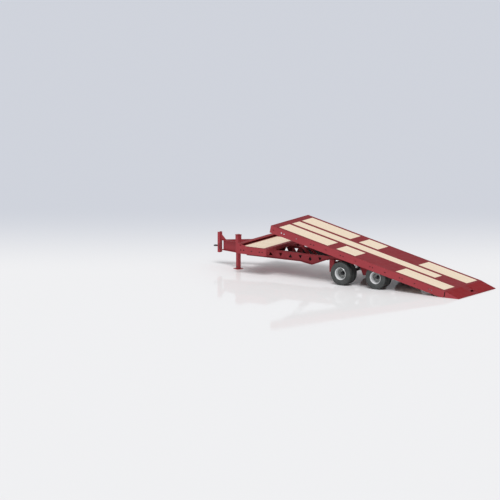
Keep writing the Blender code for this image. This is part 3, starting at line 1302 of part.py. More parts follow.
def build_jack(frame):
    """Square jack on the left drawbar leg: a housing with its cap and the leg that slides in it."""
    height = JACK_TOP - JACK_BOTTOM
    middle = (JACK_TOP + JACK_BOTTOM) / 2
    house = piece("jack_housing", box("jack_housing", (JACK_SIZE, JACK_SIZE, height)), frame,
                  (JACK_ALONG, JACK_OUT, middle))
    cap = helper("jack_cap", box("jack_cap", (JACK_CAP, JACK_CAP, JACK_CAP_THICKNESS)), frame,
                 (JACK_ALONG, JACK_OUT, JACK_TOP))
    inner = JACK_SIZE - 2 * JACK_WALL
    bore_height = height - JACK_COLLAR_DEPTH - JACK_CAP_THICKNESS
    bore = helper("jack_bore", box("jack_bore", (inner, inner, bore_height)), frame,
                  (JACK_ALONG, JACK_OUT, JACK_BOTTOM + JACK_COLLAR_DEPTH + bore_height / 2))
    guide = JACK_LEG_SIZE + 2 * PIN_GAP
    collar = helper("jack_collar", box("jack_collar", (guide, guide, 4 * JACK_COLLAR_DEPTH)),
                    frame, (JACK_ALONG, JACK_OUT, JACK_BOTTOM))
    weld_on(house, cap)
    cut_out(house, bore, collar)
    length = JACK_LEG_TOP - JACK_FOOT_THICKNESS / 2
    leg = piece("jack_leg", box("jack_leg", (JACK_LEG_SIZE, JACK_LEG_SIZE, length)), frame,
                (JACK_ALONG, JACK_OUT, JACK_LEG_TOP - length / 2))
    foot = helper("jack_foot", box("jack_foot", (JACK_FOOT, JACK_FOOT, JACK_FOOT_THICKNESS)),
                  frame, (JACK_ALONG, JACK_OUT, JACK_FOOT_THICKNESS / 2))
    weld_on(leg, foot)


def build_cylinder(name, side):
    """Lift cylinder: a barrel on its base pin and the rod whose pin lies in the bed's slots."""
    base_x = CYLINDER_PIN_X
    pin_x, pin_z = tipped(ROD_PIN_FORWARD, ROD_PIN_RISE)
    run = pin_x - base_x
    rise = pin_z - CYLINDER_PIN_HEIGHT
    length = math.hypot(run, rise)
    marker = empty("cylinder_" + name, (base_x, side * CYLINDER_Y, CYLINDER_PIN_HEIGHT), TRAILER,
                   (0, math.atan2(run, rise), 0))
    bore = CYLINDER_RADIUS - CYLINDER_WALL
    gland = ROD_RADIUS + PIN_GAP
    mouth = CYLINDER_LENGTH - GLAND_LENGTH
    profile = [(gland, CYLINDER_LENGTH), (CYLINDER_RADIUS, CYLINDER_LENGTH),
               (CYLINDER_RADIUS, CYLINDER_BASE), (0, CYLINDER_BASE),
               (0, CYLINDER_BASE + CYLINDER_WALL), (bore, CYLINDER_BASE + CYLINDER_WALL),
               (bore, mouth), (gland, mouth)]
    barrel = turned("lift_cylinder_" + name, profile, marker, "red_paint", TUBE_SIDES)
    eye = rod("base_eye", CYLINDER_PIN_RADIUS + EYE_WALL, EYE_WIDTH, sides=TUBE_SIDES)
    hole = rod("base_bore", CYLINDER_PIN_RADIUS + PIN_GAP, 2 * EYE_WIDTH, sides=TUBE_SIDES)
    neck = box("base_neck", (EYE_WIDTH, EYE_WIDTH - LUG_GAP, CYLINDER_BASE))
    weld_on(barrel, helper(f"base_eye_{name}", eye, marker),
            helper(f"base_neck_{name}", neck, marker,
                   (0, 0, CYLINDER_BASE / 2 + CYLINDER_WALL / 2)))
    cut_out(barrel, helper(f"base_bore_{name}", hole, marker))

    stroke = length - ROD_START
    piece_rod = piece("lift_rod_" + name, rod("lift_rod", ROD_RADIUS, stroke, "Z", TUBE_SIDES),
                      marker, (0, 0, ROD_START + stroke / 2), "bare_steel")
    rod_eye = rod("rod_eye", CYLINDER_PIN_RADIUS + EYE_WALL, EYE_WIDTH, sides=TUBE_SIDES)
    pin_length = EYE_WIDTH + 2 * (LUG_GAP + LUG_THICKNESS + PIN_PROUD)
    pin = rod("rod_pin", CYLINDER_PIN_RADIUS, pin_length, sides=TUBE_SIDES)
    weld_on(piece_rod, helper(f"rod_eye_{name}", rod_eye, marker, (0, 0, length)),
            helper(f"rod_pin_{name}", pin, marker, (0, 0, length)))


for side_name, side_sign in SIDES:
    leg_frame = empty("leg_line_" + side_name, (LEG_START, side_sign * RAIL_Y, 0), TRAILER,
                      (0, 0, -side_sign * LEG_ANGLE))
    build_leg("leg_" + side_name, side_sign, leg_frame)
    if side_sign > 0:
        build_jack(leg_frame)
    build_cylinder(side_name, side_sign)
build_coupler()
build_front_deck()
build_front_rail()
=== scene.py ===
"""Looks of the tilt trailer: its finishes, boards, wheels, fittings, floor, light and camera."""
import json
import math

import bmesh
import bpy
from mathutils import Matrix, Vector, noise

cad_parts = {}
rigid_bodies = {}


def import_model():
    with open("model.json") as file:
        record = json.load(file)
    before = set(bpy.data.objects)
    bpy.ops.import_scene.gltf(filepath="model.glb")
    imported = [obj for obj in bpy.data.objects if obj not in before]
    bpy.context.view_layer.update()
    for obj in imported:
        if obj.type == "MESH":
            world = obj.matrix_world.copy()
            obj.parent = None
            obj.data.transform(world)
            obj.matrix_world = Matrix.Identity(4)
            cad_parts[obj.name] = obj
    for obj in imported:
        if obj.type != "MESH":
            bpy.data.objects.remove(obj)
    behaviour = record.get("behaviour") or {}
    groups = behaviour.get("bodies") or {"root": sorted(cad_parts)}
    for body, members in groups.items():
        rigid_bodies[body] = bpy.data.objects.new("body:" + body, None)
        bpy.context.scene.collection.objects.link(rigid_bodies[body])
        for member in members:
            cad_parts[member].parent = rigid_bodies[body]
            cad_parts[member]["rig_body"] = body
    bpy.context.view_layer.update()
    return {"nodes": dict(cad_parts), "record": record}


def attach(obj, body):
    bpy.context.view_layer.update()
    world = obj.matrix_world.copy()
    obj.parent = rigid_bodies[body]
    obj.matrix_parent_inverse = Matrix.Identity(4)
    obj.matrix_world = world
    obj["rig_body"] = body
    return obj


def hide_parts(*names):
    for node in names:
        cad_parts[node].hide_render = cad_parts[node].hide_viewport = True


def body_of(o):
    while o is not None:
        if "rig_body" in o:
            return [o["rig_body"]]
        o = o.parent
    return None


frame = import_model()
NODES = frame["nodes"]
JOINTS = {joint["name"]: joint for joint in frame["record"]["behaviour"]["joints"]}

# Places taken from the frame
TILT = math.radians(JOINTS["bed_tilt"]["range_deg"][1])
PIVOT = Vector(JOINTS["bed_tilt"]["pos_m"])
CHASSIS_FRAME = Matrix.Identity(4)
BED_FRAME = Matrix.Translation(PIVOT) @ Matrix.Rotation(-TILT, 4, "Y")
WHEELS = [(end, side) for end in ("front", "rear") for side in ("left", "right")]
SIDE_SIGN = {"left": 1, "right": -1}

UP = Vector((0, 0, 1))
FULL_TURN = 2 * math.pi


# Shader maths on wrapped sockets

class Socket:
    """A node's output; a sum or product with sockets and numbers adds its Math nodes."""

    def __init__(self, nodes, output):
        self.nodes = nodes
        self.output = output

    def maths(self, operation, first, second):
        return self.nodes.add("ShaderNodeMath", {"operation": operation}, {0: first, 1: second})

    def __add__(self, other):
        return self.maths("ADD", self, other)

    def __radd__(self, other):
        return self.maths("ADD", other, self)

    def __mul__(self, other):
        return self.maths("MULTIPLY", self, other)

    def __rmul__(self, other):
        return self.maths("MULTIPLY", other, self)

    def clamped(self):
        """The same value, kept from 0 to 1."""
        return self.maths("MINIMUM", self.maths("MAXIMUM", self, 0.0), 1.0)


class NodeTree:
    """The nodes of a finish, of the floor or of the backdrop."""

    def __init__(self, owner):
        owner.use_nodes = True
        self.tree = owner.node_tree

    def plug(self, place, value):
        """Links a socket to a node's input, or sets a number, vector or colour on it."""
        if isinstance(value, Socket):
            self.tree.links.new(value.output, place)
        elif place.type == "RGBA":
            place.default_value = (*value, 1.0)
        else:
            place.default_value = value

    def add(self, kind, settings=None, inputs=None, output=0):
        """Adds a node: its settings first, then the values or links of its sockets."""
        node = self.tree.nodes.new(kind)
        for name, value in (settings or {}).items():
            setattr(node, name, value)
        for place, value in (inputs or {}).items():
            self.plug(node.inputs[place], value)
        return Socket(self, node.outputs[output])

    def feed(self, node, place, value):
        """Sets or links an input of one of the tree's first nodes."""
        self.plug(self.tree.nodes[node].inputs[place], value)

    def noise(self, place, scale, detail=3.0, roughness=0.5):
        """Cloudy noise from 0 to 1."""
        return self.add("ShaderNodeTexNoise", inputs={
            "Vector": place, "Scale": scale, "Detail": detail, "Roughness": roughness},
            output="Fac")

    def stretched(self, place, scales):
        """The same place, drawn out along an axis."""
        return self.add("ShaderNodeMapping", inputs={"Vector": place, "Scale": scales})

    def blend(self, share, first, second):
        """Mixes two colours by a share; a Mix node has its colours at 6 and 7, and gives 2."""
        return self.add("ShaderNodeMix", {"data_type": "RGBA"}, {0: share, 6: first, 7: second},
                        output=2)

    def ramp(self, value, low, high):
        """Stretches the values between two levels to 0 and 1."""
        return self.add("ShaderNodeMapRange", inputs={0: value, 1: low, 2: high})


class Finish(NodeTree):
    """A material of the trailer, its pattern in the piece's own place."""

    def __init__(self, name, colour, roughness, metallic=0.0):
        self.material = bpy.data.materials.new(name)
        super().__init__(self.material)
        self.material.diffuse_color = (*colour, 1.0)
        self.place = self.add("ShaderNodeTexCoord", output="Object")
        self.surface("Base Color", colour)
        self.surface("Roughness", roughness)
        self.surface("Metallic", metallic)

    def surface(self, place, value):
        """Sets or links an input of the finish's surface."""
        self.feed("Principled BSDF", place, value)

    def bump(self, height, strength, distance):
        """Fine relief in the finish."""
        self.surface("Normal", self.add("ShaderNodeBump", inputs={
            "Height": height, "Strength": strength, "Distance": distance}))


# Finishes

def shaded(colour, share):
    """A colour made darker."""
    return tuple(share * part for part in colour)


def painted_steel(name, upright, level, gloss):
    """Sprayed steel: deeper in tone where it faces up as painted shade, cloudy, with slight orange
    peel.
    """
    cloud_share = 0.90
    paint = Finish(name, upright, gloss)
    cloud = paint.ramp(paint.noise(paint.place, scale=1.3, detail=4.0), low=0.3, high=0.7)
    # Painted shade: faces that look up take the darker level colour
    facing = paint.add("ShaderNodeNewGeometry", output="Normal")
    rise = paint.add("ShaderNodeSeparateXYZ", inputs={"Vector": facing}, output="Z")
    top_shade_share = paint.ramp(rise, low=0.55, high=0.9)
    sides = paint.blend(cloud, shaded(upright, cloud_share), upright)
    shaded_tops = paint.blend(cloud, shaded(level, cloud_share), level)
    paint.surface("Base Color", paint.blend(top_shade_share, sides, shaded_tops))
    dust = paint.ramp(paint.noise(paint.place, scale=5.0, detail=5.0), low=0.35, high=0.75)
    fine = paint.noise(paint.place, scale=42.0, detail=2.0)
    paint.surface("Roughness", (dust * 0.10 + fine * 0.08 + (gloss - 0.04)).clamped())
    paint.surface("Specular IOR Level", 0.06)
    peel = paint.noise(paint.place, scale=160.0, detail=1.0)
    paint.bump(peel, strength=0.06, distance=0.002)
    return paint.material


def board_wood(name):
    """Pale softwood: long grain along each board, with each board a little lighter or darker."""
    light = (0.85, 0.72, 0.56)
    dark = (0.74, 0.57, 0.40)
    grain_stretch = (0.9, 26.0, 26.0)
    wood = Finish(name, light, roughness=0.62)
    tone = wood.add("ShaderNodeAttribute", {"attribute_name": "board_tone"}, output="Fac")
    shift = wood.add("ShaderNodeCombineXYZ",
                     inputs={"X": tone * 7.0, "Y": tone * 3.0, "Z": tone * 5.0})
    place = wood.add("ShaderNodeVectorMath", {"operation": "ADD"}, {0: wood.place, 1: shift})
    along = wood.stretched(place, grain_stretch)
    grain = wood.noise(along, scale=2.2, detail=6.0, roughness=0.62)
    fibre = wood.noise(along, scale=14.0)
    share = (wood.ramp(grain, low=0.42, high=0.78) * 0.55 + tone * 0.22).clamped()
    wood.surface("Base Color", wood.blend(share, light, dark))
    wood.surface("Roughness", (grain * 0.2 + 0.52).clamped())
    wood.bump(grain * 0.6 + fibre * 0.4, strength=0.18, distance=0.003)
    return wood.material


def tyre_rubber(name):
    """Dark grey rubber with a film of dust."""
    black = (0.040, 0.044, 0.043)
    dusty = (0.105, 0.110, 0.108)
    rubber = Finish(name, black, roughness=0.72)
    film = rubber.noise(rubber.place, scale=9.0, detail=5.0)
    dust = rubber.ramp(film, low=0.35, high=0.8) * 0.5
    rubber.surface("Base Color", rubber.blend(dust, black, dusty))
    scuff = rubber.noise(rubber.place, scale=30.0)
    rubber.surface("Roughness", (scuff * 0.15 + 0.62).clamped())
    pores = rubber.noise(rubber.place, scale=220.0, detail=2.0)
    rubber.bump(pores, strength=0.15, distance=0.001)
    return rubber.material


def wheel_paint(name, colour):
    """Wheel enamel with fine dust in the dish."""
    dusty = shaded(colour, 0.6)
    enamel = Finish(name, colour, roughness=0.32, metallic=0.25)
    film = enamel.noise(enamel.place, scale=14.0, detail=4.0)
    dust = enamel.ramp(film, low=0.45, high=0.8) * 0.35
    enamel.surface("Base Color", enamel.blend(dust, colour, dusty))
    enamel.surface("Roughness", (dust * 0.5 + 0.28).clamped())
    peel = enamel.noise(enamel.place, scale=180.0, detail=1.0)
    enamel.bump(peel, strength=0.05, distance=0.001)
    return enamel.material


def bright_steel(name):
    """Ground and plated steel with faint marks along the bar."""
    mark_stretch = (1.0, 6.0, 1.0)
    steel = Finish(name, (0.70, 0.70, 0.71), roughness=0.18, metallic=1.0)
    marks = steel.noise(steel.stretched(steel.place, mark_stretch), scale=60.0)
    steel.surface("Roughness", (marks * 0.18 + 0.10).clamped())
    steel.bump(marks, strength=0.04, distance=0.0005)
    return steel.material


def plain_steel(name, colour, roughness):
    """Black chassis paint or zinc, thinly coated and a little uneven."""
    worn = tuple(min(1.0, part * 1.8 + 0.03) for part in colour)
    metal = Finish(name, colour, roughness, metallic=0.4)
    patches = metal.noise(metal.place, scale=24.0, detail=5.0)
    wear = metal.ramp(patches, low=0.55, high=0.8).clamped()
    metal.surface("Base Color", metal.blend(wear, colour, worn))
    metal.surface("Roughness", (wear * 0.15 + roughness).clamped())
    grit = metal.noise(metal.place, scale=120.0, detail=2.0)
    metal.bump(grit, strength=0.08, distance=0.001)
    return metal.material


# Each paint's level colour is the painted shade of its faces that look up
RED = painted_steel("maroon_paint", upright=(0.385, 0.060, 0.072), level=(0.225, 0.018, 0.024),
                    gloss=0.46)
# The tail plates' deeper red is painted shade, so the slope's middle stands lighter as a painted
# highlight
TAIL_SHADE_RED = painted_steel("tail_painted_shade", upright=(0.250, 0.008, 0.012),
                         level=(0.235, 0.004, 0.007), gloss=0.42)
WOOD = board_wood("pale_boards")
RUBBER = tyre_rubber("tyre_rubber")
SILVER = wheel_paint("wheel_enamel", (0.80, 0.81, 0.82))
# Painted shade: the discs' dark grey stands for the shade deep in the dish of the silver wheels
DISC_SHADE_GREY = wheel_paint("wheel_disc_painted_shade", (0.24, 0.25, 0.245))
CHROME = bright_steel("rod_chrome")
BLACK = plain_steel("chassis_black", (0.030, 0.030, 0.033), roughness=0.42)
ZINC = plain_steel("zinc_fasteners", (0.45, 0.44, 0.42), roughness=0.34)
SLOT_FINISH = {"red_paint": RED, "tail_paint": RED, "deck_wood": WOOD, "tyre_rubber": RUBBER,
               "wheel_silver": SILVER, "axle_black": BLACK, "bare_steel": CHROME}
BLACK_SOLIDS = ("spring", "rocker", "axle", "pivot")


# Making pieces

MERGE_DISTANCE = 0.00002
# Smoothing angles in degrees; a plate's is small, so that its flat faces stay evenly shaded
PLATE_ANGLE = 20
SKIN_ANGLE = 40


def new_piece(name, shape, finish, body, stands_for=(), smooth_angle=35):
    """Ends a bmesh as a piece of the trailer that rides on a body."""
    bmesh.ops.remove_doubles(shape, verts=shape.verts, dist=MERGE_DISTANCE)
    bmesh.ops.recalc_face_normals(shape, faces=shape.faces)
    mesh = bpy.data.meshes.new(name)
    shape.to_mesh(mesh)
    shape.free()
    mesh.materials.append(finish)
    mesh.shade_smooth()
    mesh.set_sharp_from_angle(angle=math.radians(smooth_angle))
    made = bpy.data.objects.new(name, mesh)
    bpy.context.scene.collection.objects.link(made)
    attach(made, body)
    if stands_for:
        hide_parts(*stands_for)


def seat(shape, place):
    """Moves a shape that was drawn about the origin to its place on the trailer."""
    bmesh.ops.transform(shape, matrix=place, verts=shape.verts)


def spin_profile(shape, profile, steps, place=CHASSIS_FRAME):
    """Spins a (radius, height) outline about Z, joins its ends and sets it in place."""
    known = set(shape.verts)
    corners = [shape.verts.new((radius, 0, height)) for radius, height in profile]
    edges = [shape.edges.new(pair) for pair in zip(corners, corners[1:])]
    bmesh.ops.spin(shape, geom=corners + edges, cent=(0, 0, 0), axis=UP, angle=FULL_TURN,
                   steps=steps, use_merge=True)
    made = [corner for corner in shape.verts if corner not in known]
    bmesh.ops.remove_doubles(shape, verts=made, dist=MERGE_DISTANCE)
    made = [corner for corner in made if corner.is_valid]
    bmesh.ops.transform(shape, matrix=place, verts=made)


def spin_ring(shape, outline, steps, place=CHASSIS_FRAME):
    """Spins an outline that closes on itself and keeps off the axis."""
    spin_profile(shape, outline + outline[:1], steps, place)


def add_cone(shape, low, high, radius, end_radius=None, sides=24):
    """Adds a round bar or taper between two points."""
    low = Vector(low)
    high = Vector(high)
    along = high - low
    turn = along.to_track_quat("Z", "Y").to_matrix().to_4x4()
    place = Matrix.Translation((low + high) / 2) @ turn
    end_radius = radius if end_radius is None else end_radius
    bmesh.ops.create_cone(shape, cap_ends=True, segments=sides, radius1=radius,
                          radius2=end_radius, depth=along.length, matrix=place)


def add_block(shape, size, place, ease):
    """Adds a box with its edges eased."""
    corners = bmesh.ops.create_cube(shape, size=1.0)["verts"]
    bmesh.ops.scale(shape, vec=size, verts=corners)
    edges = list({edge for corner in corners for edge in corner.link_edges})
    eased = bmesh.ops.bevel(shape, geom=edges, offset=ease, segments=2, profile=0.5,
                            affect="EDGES", material=-1)
    made = {corner for face in eased["faces"] for corner in face.verts}
    made |= {corner for corner in corners if corner.is_valid}
    bmesh.ops.transform(shape, matrix=place, verts=list(made))


def add_bolt(shape, place, direction, size):
    """Adds a hexagon bolt head with its washer, standing on a face."""
    place = Vector(place)
    direction = Vector(direction).normalized()
    washer_top = place + direction * size * 0.2
    head_top = place + direction * size * 0.9
    add_cone(shape, place, washer_top, size * 1.25, sides=20)
    add_cone(shape, washer_top, head_top, size, size * 0.97, sides=6)


def circle_points(count, radius, height, shift=0.0):
    """Points spaced evenly round the Z axis, turned on by a share of their spacing."""
    points = []
    for step in range(count):
        angle = FULL_TURN * (step + shift) / count
        points.append(Vector((radius * math.cos(angle), radius * math.sin(angle), height)))
    return points


def tube_along(shape, points, radius):
    """Adds a bent bar that follows a list of points."""
    curve = bpy.data.curves.new("bar", "CURVE")
    curve.dimensions = "3D"
    curve.bevel_depth = radius
    curve.bevel_resolution = 4
    curve.use_fill_caps = True
    spline = curve.splines.new("POLY")
    spline.points.add(len(points) - 1)
    for point, place in zip(spline.points, points):
        point.co = (*place, 1)
    holder = bpy.data.objects.new("bar", curve)
    bpy.context.scene.collection.objects.link(holder)
    graph = bpy.context.evaluated_depsgraph_get()
    mesh = bpy.data.meshes.new_from_object(holder.evaluated_get(graph))
    shape.from_mesh(mesh)
    bpy.data.objects.remove(holder, do_unlink=True)
    bpy.data.meshes.remove(mesh)


def smooth_copy(node, finish):
    """Makes a round CAD piece again, its loose triangles joined and shaded smooth."""
    shape = bmesh.new()
    shape.from_mesh(NODES[node].data)
    body = body_of(NODES[node])[0]
    new_piece(node + "_skin", shape, finish, body, [node], SKIN_ANGLE)


def carved(shape, cutter):
    """Cuts one closed shape out of another and gives what is left; both are used up."""
    meshes = [bpy.data.meshes.new(name) for name in ("carved", "cutter")]
    holders = []
    for mesh, source in zip(meshes, (shape, cutter)):
        bmesh.ops.recalc_face_normals(source, faces=source.faces)
        source.to_mesh(mesh)
        source.free()
        holder = bpy.data.objects.new(mesh.name, mesh)
        bpy.context.scene.collection.objects.link(holder)
        holders.append(holder)
    cut = holders[0].modifiers.new("cut", "BOOLEAN")
    cut.operation = "DIFFERENCE"
    cut.solver = "EXACT"
    cut.object = holders[1]
    graph = bpy.context.evaluated_depsgraph_get()
    result = bpy.data.meshes.new_from_object(holders[0].evaluated_get(graph))
    made = bmesh.new()
    made.from_mesh(result)
    for holder in holders:
        bpy.data.objects.remove(holder, do_unlink=True)
    return made


def frame_box(node, place):
    """Lowest and highest corners of a CAD node, measured along the axes of a frame."""
    back = place.inverted()
    corners = [back @ corner.co for corner in NODES[node].data.vertices]
    low = Vector([min(corner[axis] for corner in corners) for axis in range(3)])
    high = Vector([max(corner[axis] for corner in corners) for axis in range(3)])
    return low, high


# Wheels

TWIN_OFFSET = 0.135
TREAD_STEPS = 96
TREAD_EDGE = 0.4105
NOTCH_DEPTH = 0.006
# Half of a tyre's outline: radius, and distance from the tyre's own middle
TYRE_HALF = [
    (0.4065, 0.0045), (0.4150, 0.0065), (0.4150, 0.0300), (0.4065, 0.0325), (0.4065, 0.0395),
    (0.4145, 0.0420), (0.4120, 0.0800), (0.4040, 0.0905), (0.3940, 0.0945), (0.3920, 0.0965),
    (0.3700, 0.1035), (0.3550, 0.1070), (0.3535, 0.1085), (0.3500, 0.1085), (0.3485, 0.1085),
    (0.3300, 0.1115), (0.3080, 0.1125), (0.2820, 0.1095), (0.2600, 0.1030), (0.2400, 0.0940),
    (0.2360, 0.0955), (0.2310, 0.0935), (0.2240, 0.0860), (0.2100, 0.0840), (0.2060, 0.0800),
]
# Outlines of the other pieces: radius, and distance outwards from between the twin tyres
DISC = [
    (0.0560, 0.0300), (0.0560, 0.0450), (0.1180, 0.0450), (0.1260, 0.0430), (0.1400, 0.0330),
    (0.1560, 0.0280), (0.1740, 0.0330), (0.1860, 0.0460), (0.1930, 0.0600), (0.1985, 0.0600),
    (0.1985, 0.0400), (0.1800, 0.0200), (0.1560, 0.0150), (0.1380, 0.0190), (0.1240, 0.0300),
]
BARREL = [
    (0.1940, 0.0500), (0.1945, 0.1900), (0.1985, 0.2120), (0.2040, 0.2180), (0.2075, 0.2265),
    (0.2120, 0.2345), (0.2185, 0.2360), (0.2225, 0.2310), (0.2225, 0.2235), (0.2150, 0.2190),
    (0.2090, 0.2180), (0.2050, 0.2140), (0.2050, 0.0550), (0.1985, 0.0480),
]
HUB_NOSE = [
    (0.0, 0.1650), (0.0300, 0.1650), (0.0360, 0.1630), (0.0400, 0.1570), (0.0400, 0.1480),
    (0.0480, 0.1470), (0.0500, 0.1440), (0.0500, 0.1380), (0.0550, 0.1300), (0.0560, 0.0600),
    (0.0700, 0.0500), (0.0720, 0.0455), (0.0, 0.0455),
]
BRAKE_DRUM = [
    (0.0700, -0.1500), (0.1500, -0.1500), (0.1620, -0.1460), (0.1650, -0.1380),
    (0.1650, -0.1180), (0.1600, -0.1150), (0.1600, -0.0300), (0.1540, -0.0180),
    (0.0700, -0.0180),
]
HAND_HOLES = 8
WHEEL_NUTS = 8
CAP_BOLTS = 6


def wheel_place(end, side):
    """Frame of a wheel pair: its origin between the twin tyres, +Z outwards along the axle."""
    centre = Vector(JOINTS[f"wheel_{end}_{side}_spin"]["pos_m"])
    turn = Matrix.Rotation(-SIDE_SIGN[side] * math.pi / 2, 4, "X")
    return Matrix.Translation(centre) @ turn


def wheel_piece(kind, end, side, shape, finish, stands_for=(),
                smooth_angle=35):
    """Seats a shape on its wheel pair and ends it as a piece that turns with the wheels."""
    seat(shape, wheel_place(end, side))
    new_piece(f"{kind}_{end}_{side}", shape, finish, f"wheel_{end}_{side}", stands_for,
              smooth_angle)


def turned_over(outline):
    """The same outline for the inner wheel of the pair."""
    return [(radius, -height) for radius, height in outline]


def is_notch(face, middle):
    """Whether a face of the tread is cut in: every third one on the shoulder and its edge."""
    centre = face.calc_center_median()
    reach = math.hypot(centre.x, centre.y)
    across = abs(centre.z - middle)
    step = math.floor(math.atan2(centre.y, centre.x) / FULL_TURN * TREAD_STEPS)
    on_shoulder = reach > TREAD_EDGE and 0.045 < across < 0.085
    on_edge = 0.395 < reach < TREAD_EDGE and 0.080 < across < 0.095
    return (on_shoulder or on_edge) and step % 3 == 0


def build_tyre(name, middle, end, side):
    """One tyre: spun outline with ring grooves, and notches cut across its shoulders."""
    half = [(radius, middle + across) for radius, across in TYRE_HALF]
    other = [(radius, middle - across) for radius, across in reversed(TYRE_HALF)]
    shape = bmesh.new()
    spin_ring(shape, half + other, TREAD_STEPS)
    bmesh.ops.recalc_face_normals(shape, faces=shape.faces)
    notches = [face for face in shape.faces if is_notch(face, middle)]
    bmesh.ops.inset_individual(shape, faces=notches, thickness=0.0012, depth=-NOTCH_DEPTH)
    wheel_piece(f"tread_{name}", end, side, shape, RUBBER, [f"tyre_{name}_{end}_{side}"],
                smooth_angle=28)


def build_discs(end, side):
    """Deep outer disc with its hand holes, and the inner wheel's disc behind it; their dark grey is
    painted shade in the dish.
    """
    hole_circle = 0.156
    hole_radius = 0.0165
    disc = bmesh.new()
    spin_ring(disc, DISC, 64)
    holes = bmesh.new()
    for spot in circle_points(HAND_HOLES, hole_circle, 0.0, shift=0.5):
        add_cone(holes, spot - UP * 0.02, spot + UP * 0.08, hole_radius, sides=20)
    shape = carved(disc, holes)
    spin_ring(shape, turned_over(DISC), 48)
    wheel_piece("wheel_disc", end, side, shape, DISC_SHADE_GREY)


def build_barrels(end, side):
    """Flanged barrels of the twin steel wheels, back to back."""
    shape = bmesh.new()
    for outline in (BARREL, turned_over(BARREL)):
        spin_ring(shape, outline, 72)
    wheel_piece("wheel_barrels", end, side, shape, SILVER, [f"rim_{end}_{side}"])


def build_hub(end, side):
    """Hub nose with the bolts of its cap, black as painted shade deep in the wheel's dish."""
    bolt_circle = 0.0440
    cap_face = 0.1470
    shape = bmesh.new()
    spin_profile(shape, HUB_NOSE, 40)
    for spot in circle_points(CAP_BOLTS, bolt_circle, cap_face):
        add_bolt(shape, spot, UP, 0.0035)
    wheel_piece("hub", end, side, shape, BLACK)


def build_wheel_nuts(end, side):
    """Wheel nuts with the ends of their studs."""
    nut_circle = 0.0960
    disc_face = 0.0450
    stud_reach = 0.024
    shape = bmesh.new()
    for spot in circle_points(WHEEL_NUTS, nut_circle, disc_face):
        add_bolt(shape, spot, UP, 0.0125)
        add_cone(shape, spot, spot + UP * stud_reach, 0.0065, 0.0060, sides=10)
    wheel_piece("wheel_nuts", end, side, shape, ZINC,
                smooth_angle=PLATE_ANGLE)


def build_brake_drum(end, side):
    """Brake drum inside the inner wheel."""
    shape = bmesh.new()
    spin_ring(shape, BRAKE_DRUM, 56)
    wheel_piece("brake_drum", end, side, shape, BLACK)


for wheel_end, wheel_side in WHEELS:
    build_tyre("inner", -TWIN_OFFSET, wheel_end, wheel_side)
    build_tyre("outer", TWIN_OFFSET, wheel_end, wheel_side)
    build_discs(wheel_end, wheel_side)
    build_barrels(wheel_end, wheel_side)
    build_hub(wheel_end, wheel_side)
    build_wheel_nuts(wheel_end, wheel_side)
    build_brake_drum(wheel_end, wheel_side)


# Boards of the bed and the front deck

BOARD_JOINT = 0.004
BOARD_EASE = 0.0022
BOARD_COUNTS = {"planks_centre": 3, "front_deck_planks": 9}
SIDE_BOARDS = 5
SCREW_PITCH = 0.406
FIRST_SCREW = 0.05
SCREW_MARGIN = 0.02
SCREW_SPREAD = 0.3
SCREW_SUNK = 0.0012
SCREW_HEIGHT = 0.0014


def board_tone(middle):
    """How dark a board is, from 0 to 1, by where it lies."""
    drift = noise.noise(Vector((middle.x * 3.7, middle.y * 11.3, 2.9)))
    return min(1.0, max(0.0, 0.5 + drift))


def add_screws(screws, place, middle, width, low, high):
    """Pairs of screw heads along one board."""
    along = low.x + FIRST_SCREW
    while along < high.x - SCREW_MARGIN:
        for across in (-SCREW_SPREAD, SCREW_SPREAD):
            spot = Vector((along, middle.y + across * width, high.z - SCREW_SUNK))
            add_cone(screws, place @ spot, place @ (spot + UP * SCREW_HEIGHT), 0.0052, 0.0048,
                     sides=8)
        along += SCREW_PITCH


def build_boards(node, place, body):
    """Separate boards along a panel, each with its own tone, eased edges and screw heads."""
    low, high = frame_box(node, place)
    count = BOARD_COUNTS.get(node, SIDE_BOARDS)
    width = (high.y - low.y) / count
    size = (high.x - low.x, width - BOARD_JOINT, high.z - low.z)
    boards = bmesh.new()
    tones = boards.faces.layers.float.new("board_tone")
    screws = bmesh.new()
    for step in range(count):
        known = set(boards.faces)
        middle = Vector(((low.x + high.x) / 2, low.y + width * (step + 0.5), (low.z + high.z) / 2))
        add_block(boards, size, place @ Matrix.Translation(middle), BOARD_EASE)
        tone = board_tone(middle)
        for face in boards.faces:
            if face not in known:
                face[tones] = tone
        add_screws(screws, place, middle, width, low, high)
    new_piece("boards_" + node, boards, WOOD, body, [node], PLATE_ANGLE)
    new_piece("screws_" + node, screws, ZINC, body, smooth_angle=PLATE_ANGLE)


for plank_node in sorted(NODES):
    if plank_node.startswith("planks_"):
        build_boards(plank_node, BED_FRAME, "bed")
build_boards("front_deck_planks", CHASSIS_FRAME, "chassis")


# CAD solids that keep their shape

for entry in frame["record"]["subparts"]:
    finish = SLOT_FINISH[entry["material_slot"]]
    if entry["node"].startswith(BLACK_SOLIDS):
        finish = BLACK
    for slot in NODES[entry["node"]].material_slots:
        slot.material = finish


# Lift cylinders: lengths are along the cylinder from its base pin

BORE = 0.0450
BORE_END = 0.0600
EYE_RADIUS = 0.0420
EYE_HALF = 0.025
CYLINDER_BARREL = [
    (0.0, 0.0300), (0.0440, 0.0300), (0.0560, 0.0400), (0.0575, 0.0460), (0.0575, 0.7560),
    (0.0550, 0.7580), (0.0550, 0.7640), (0.0600, 0.7660), (0.0600, 0.8040), (0.0570, 0.8080),
    (0.0520, 0.8100), (0.0520, 0.8200), (0.0360, 0.8200), (0.0320, 0.8160), (0.0320, 0.8080),
    (BORE, 0.8000), (BORE, BORE_END), (0.0, BORE_END),
]


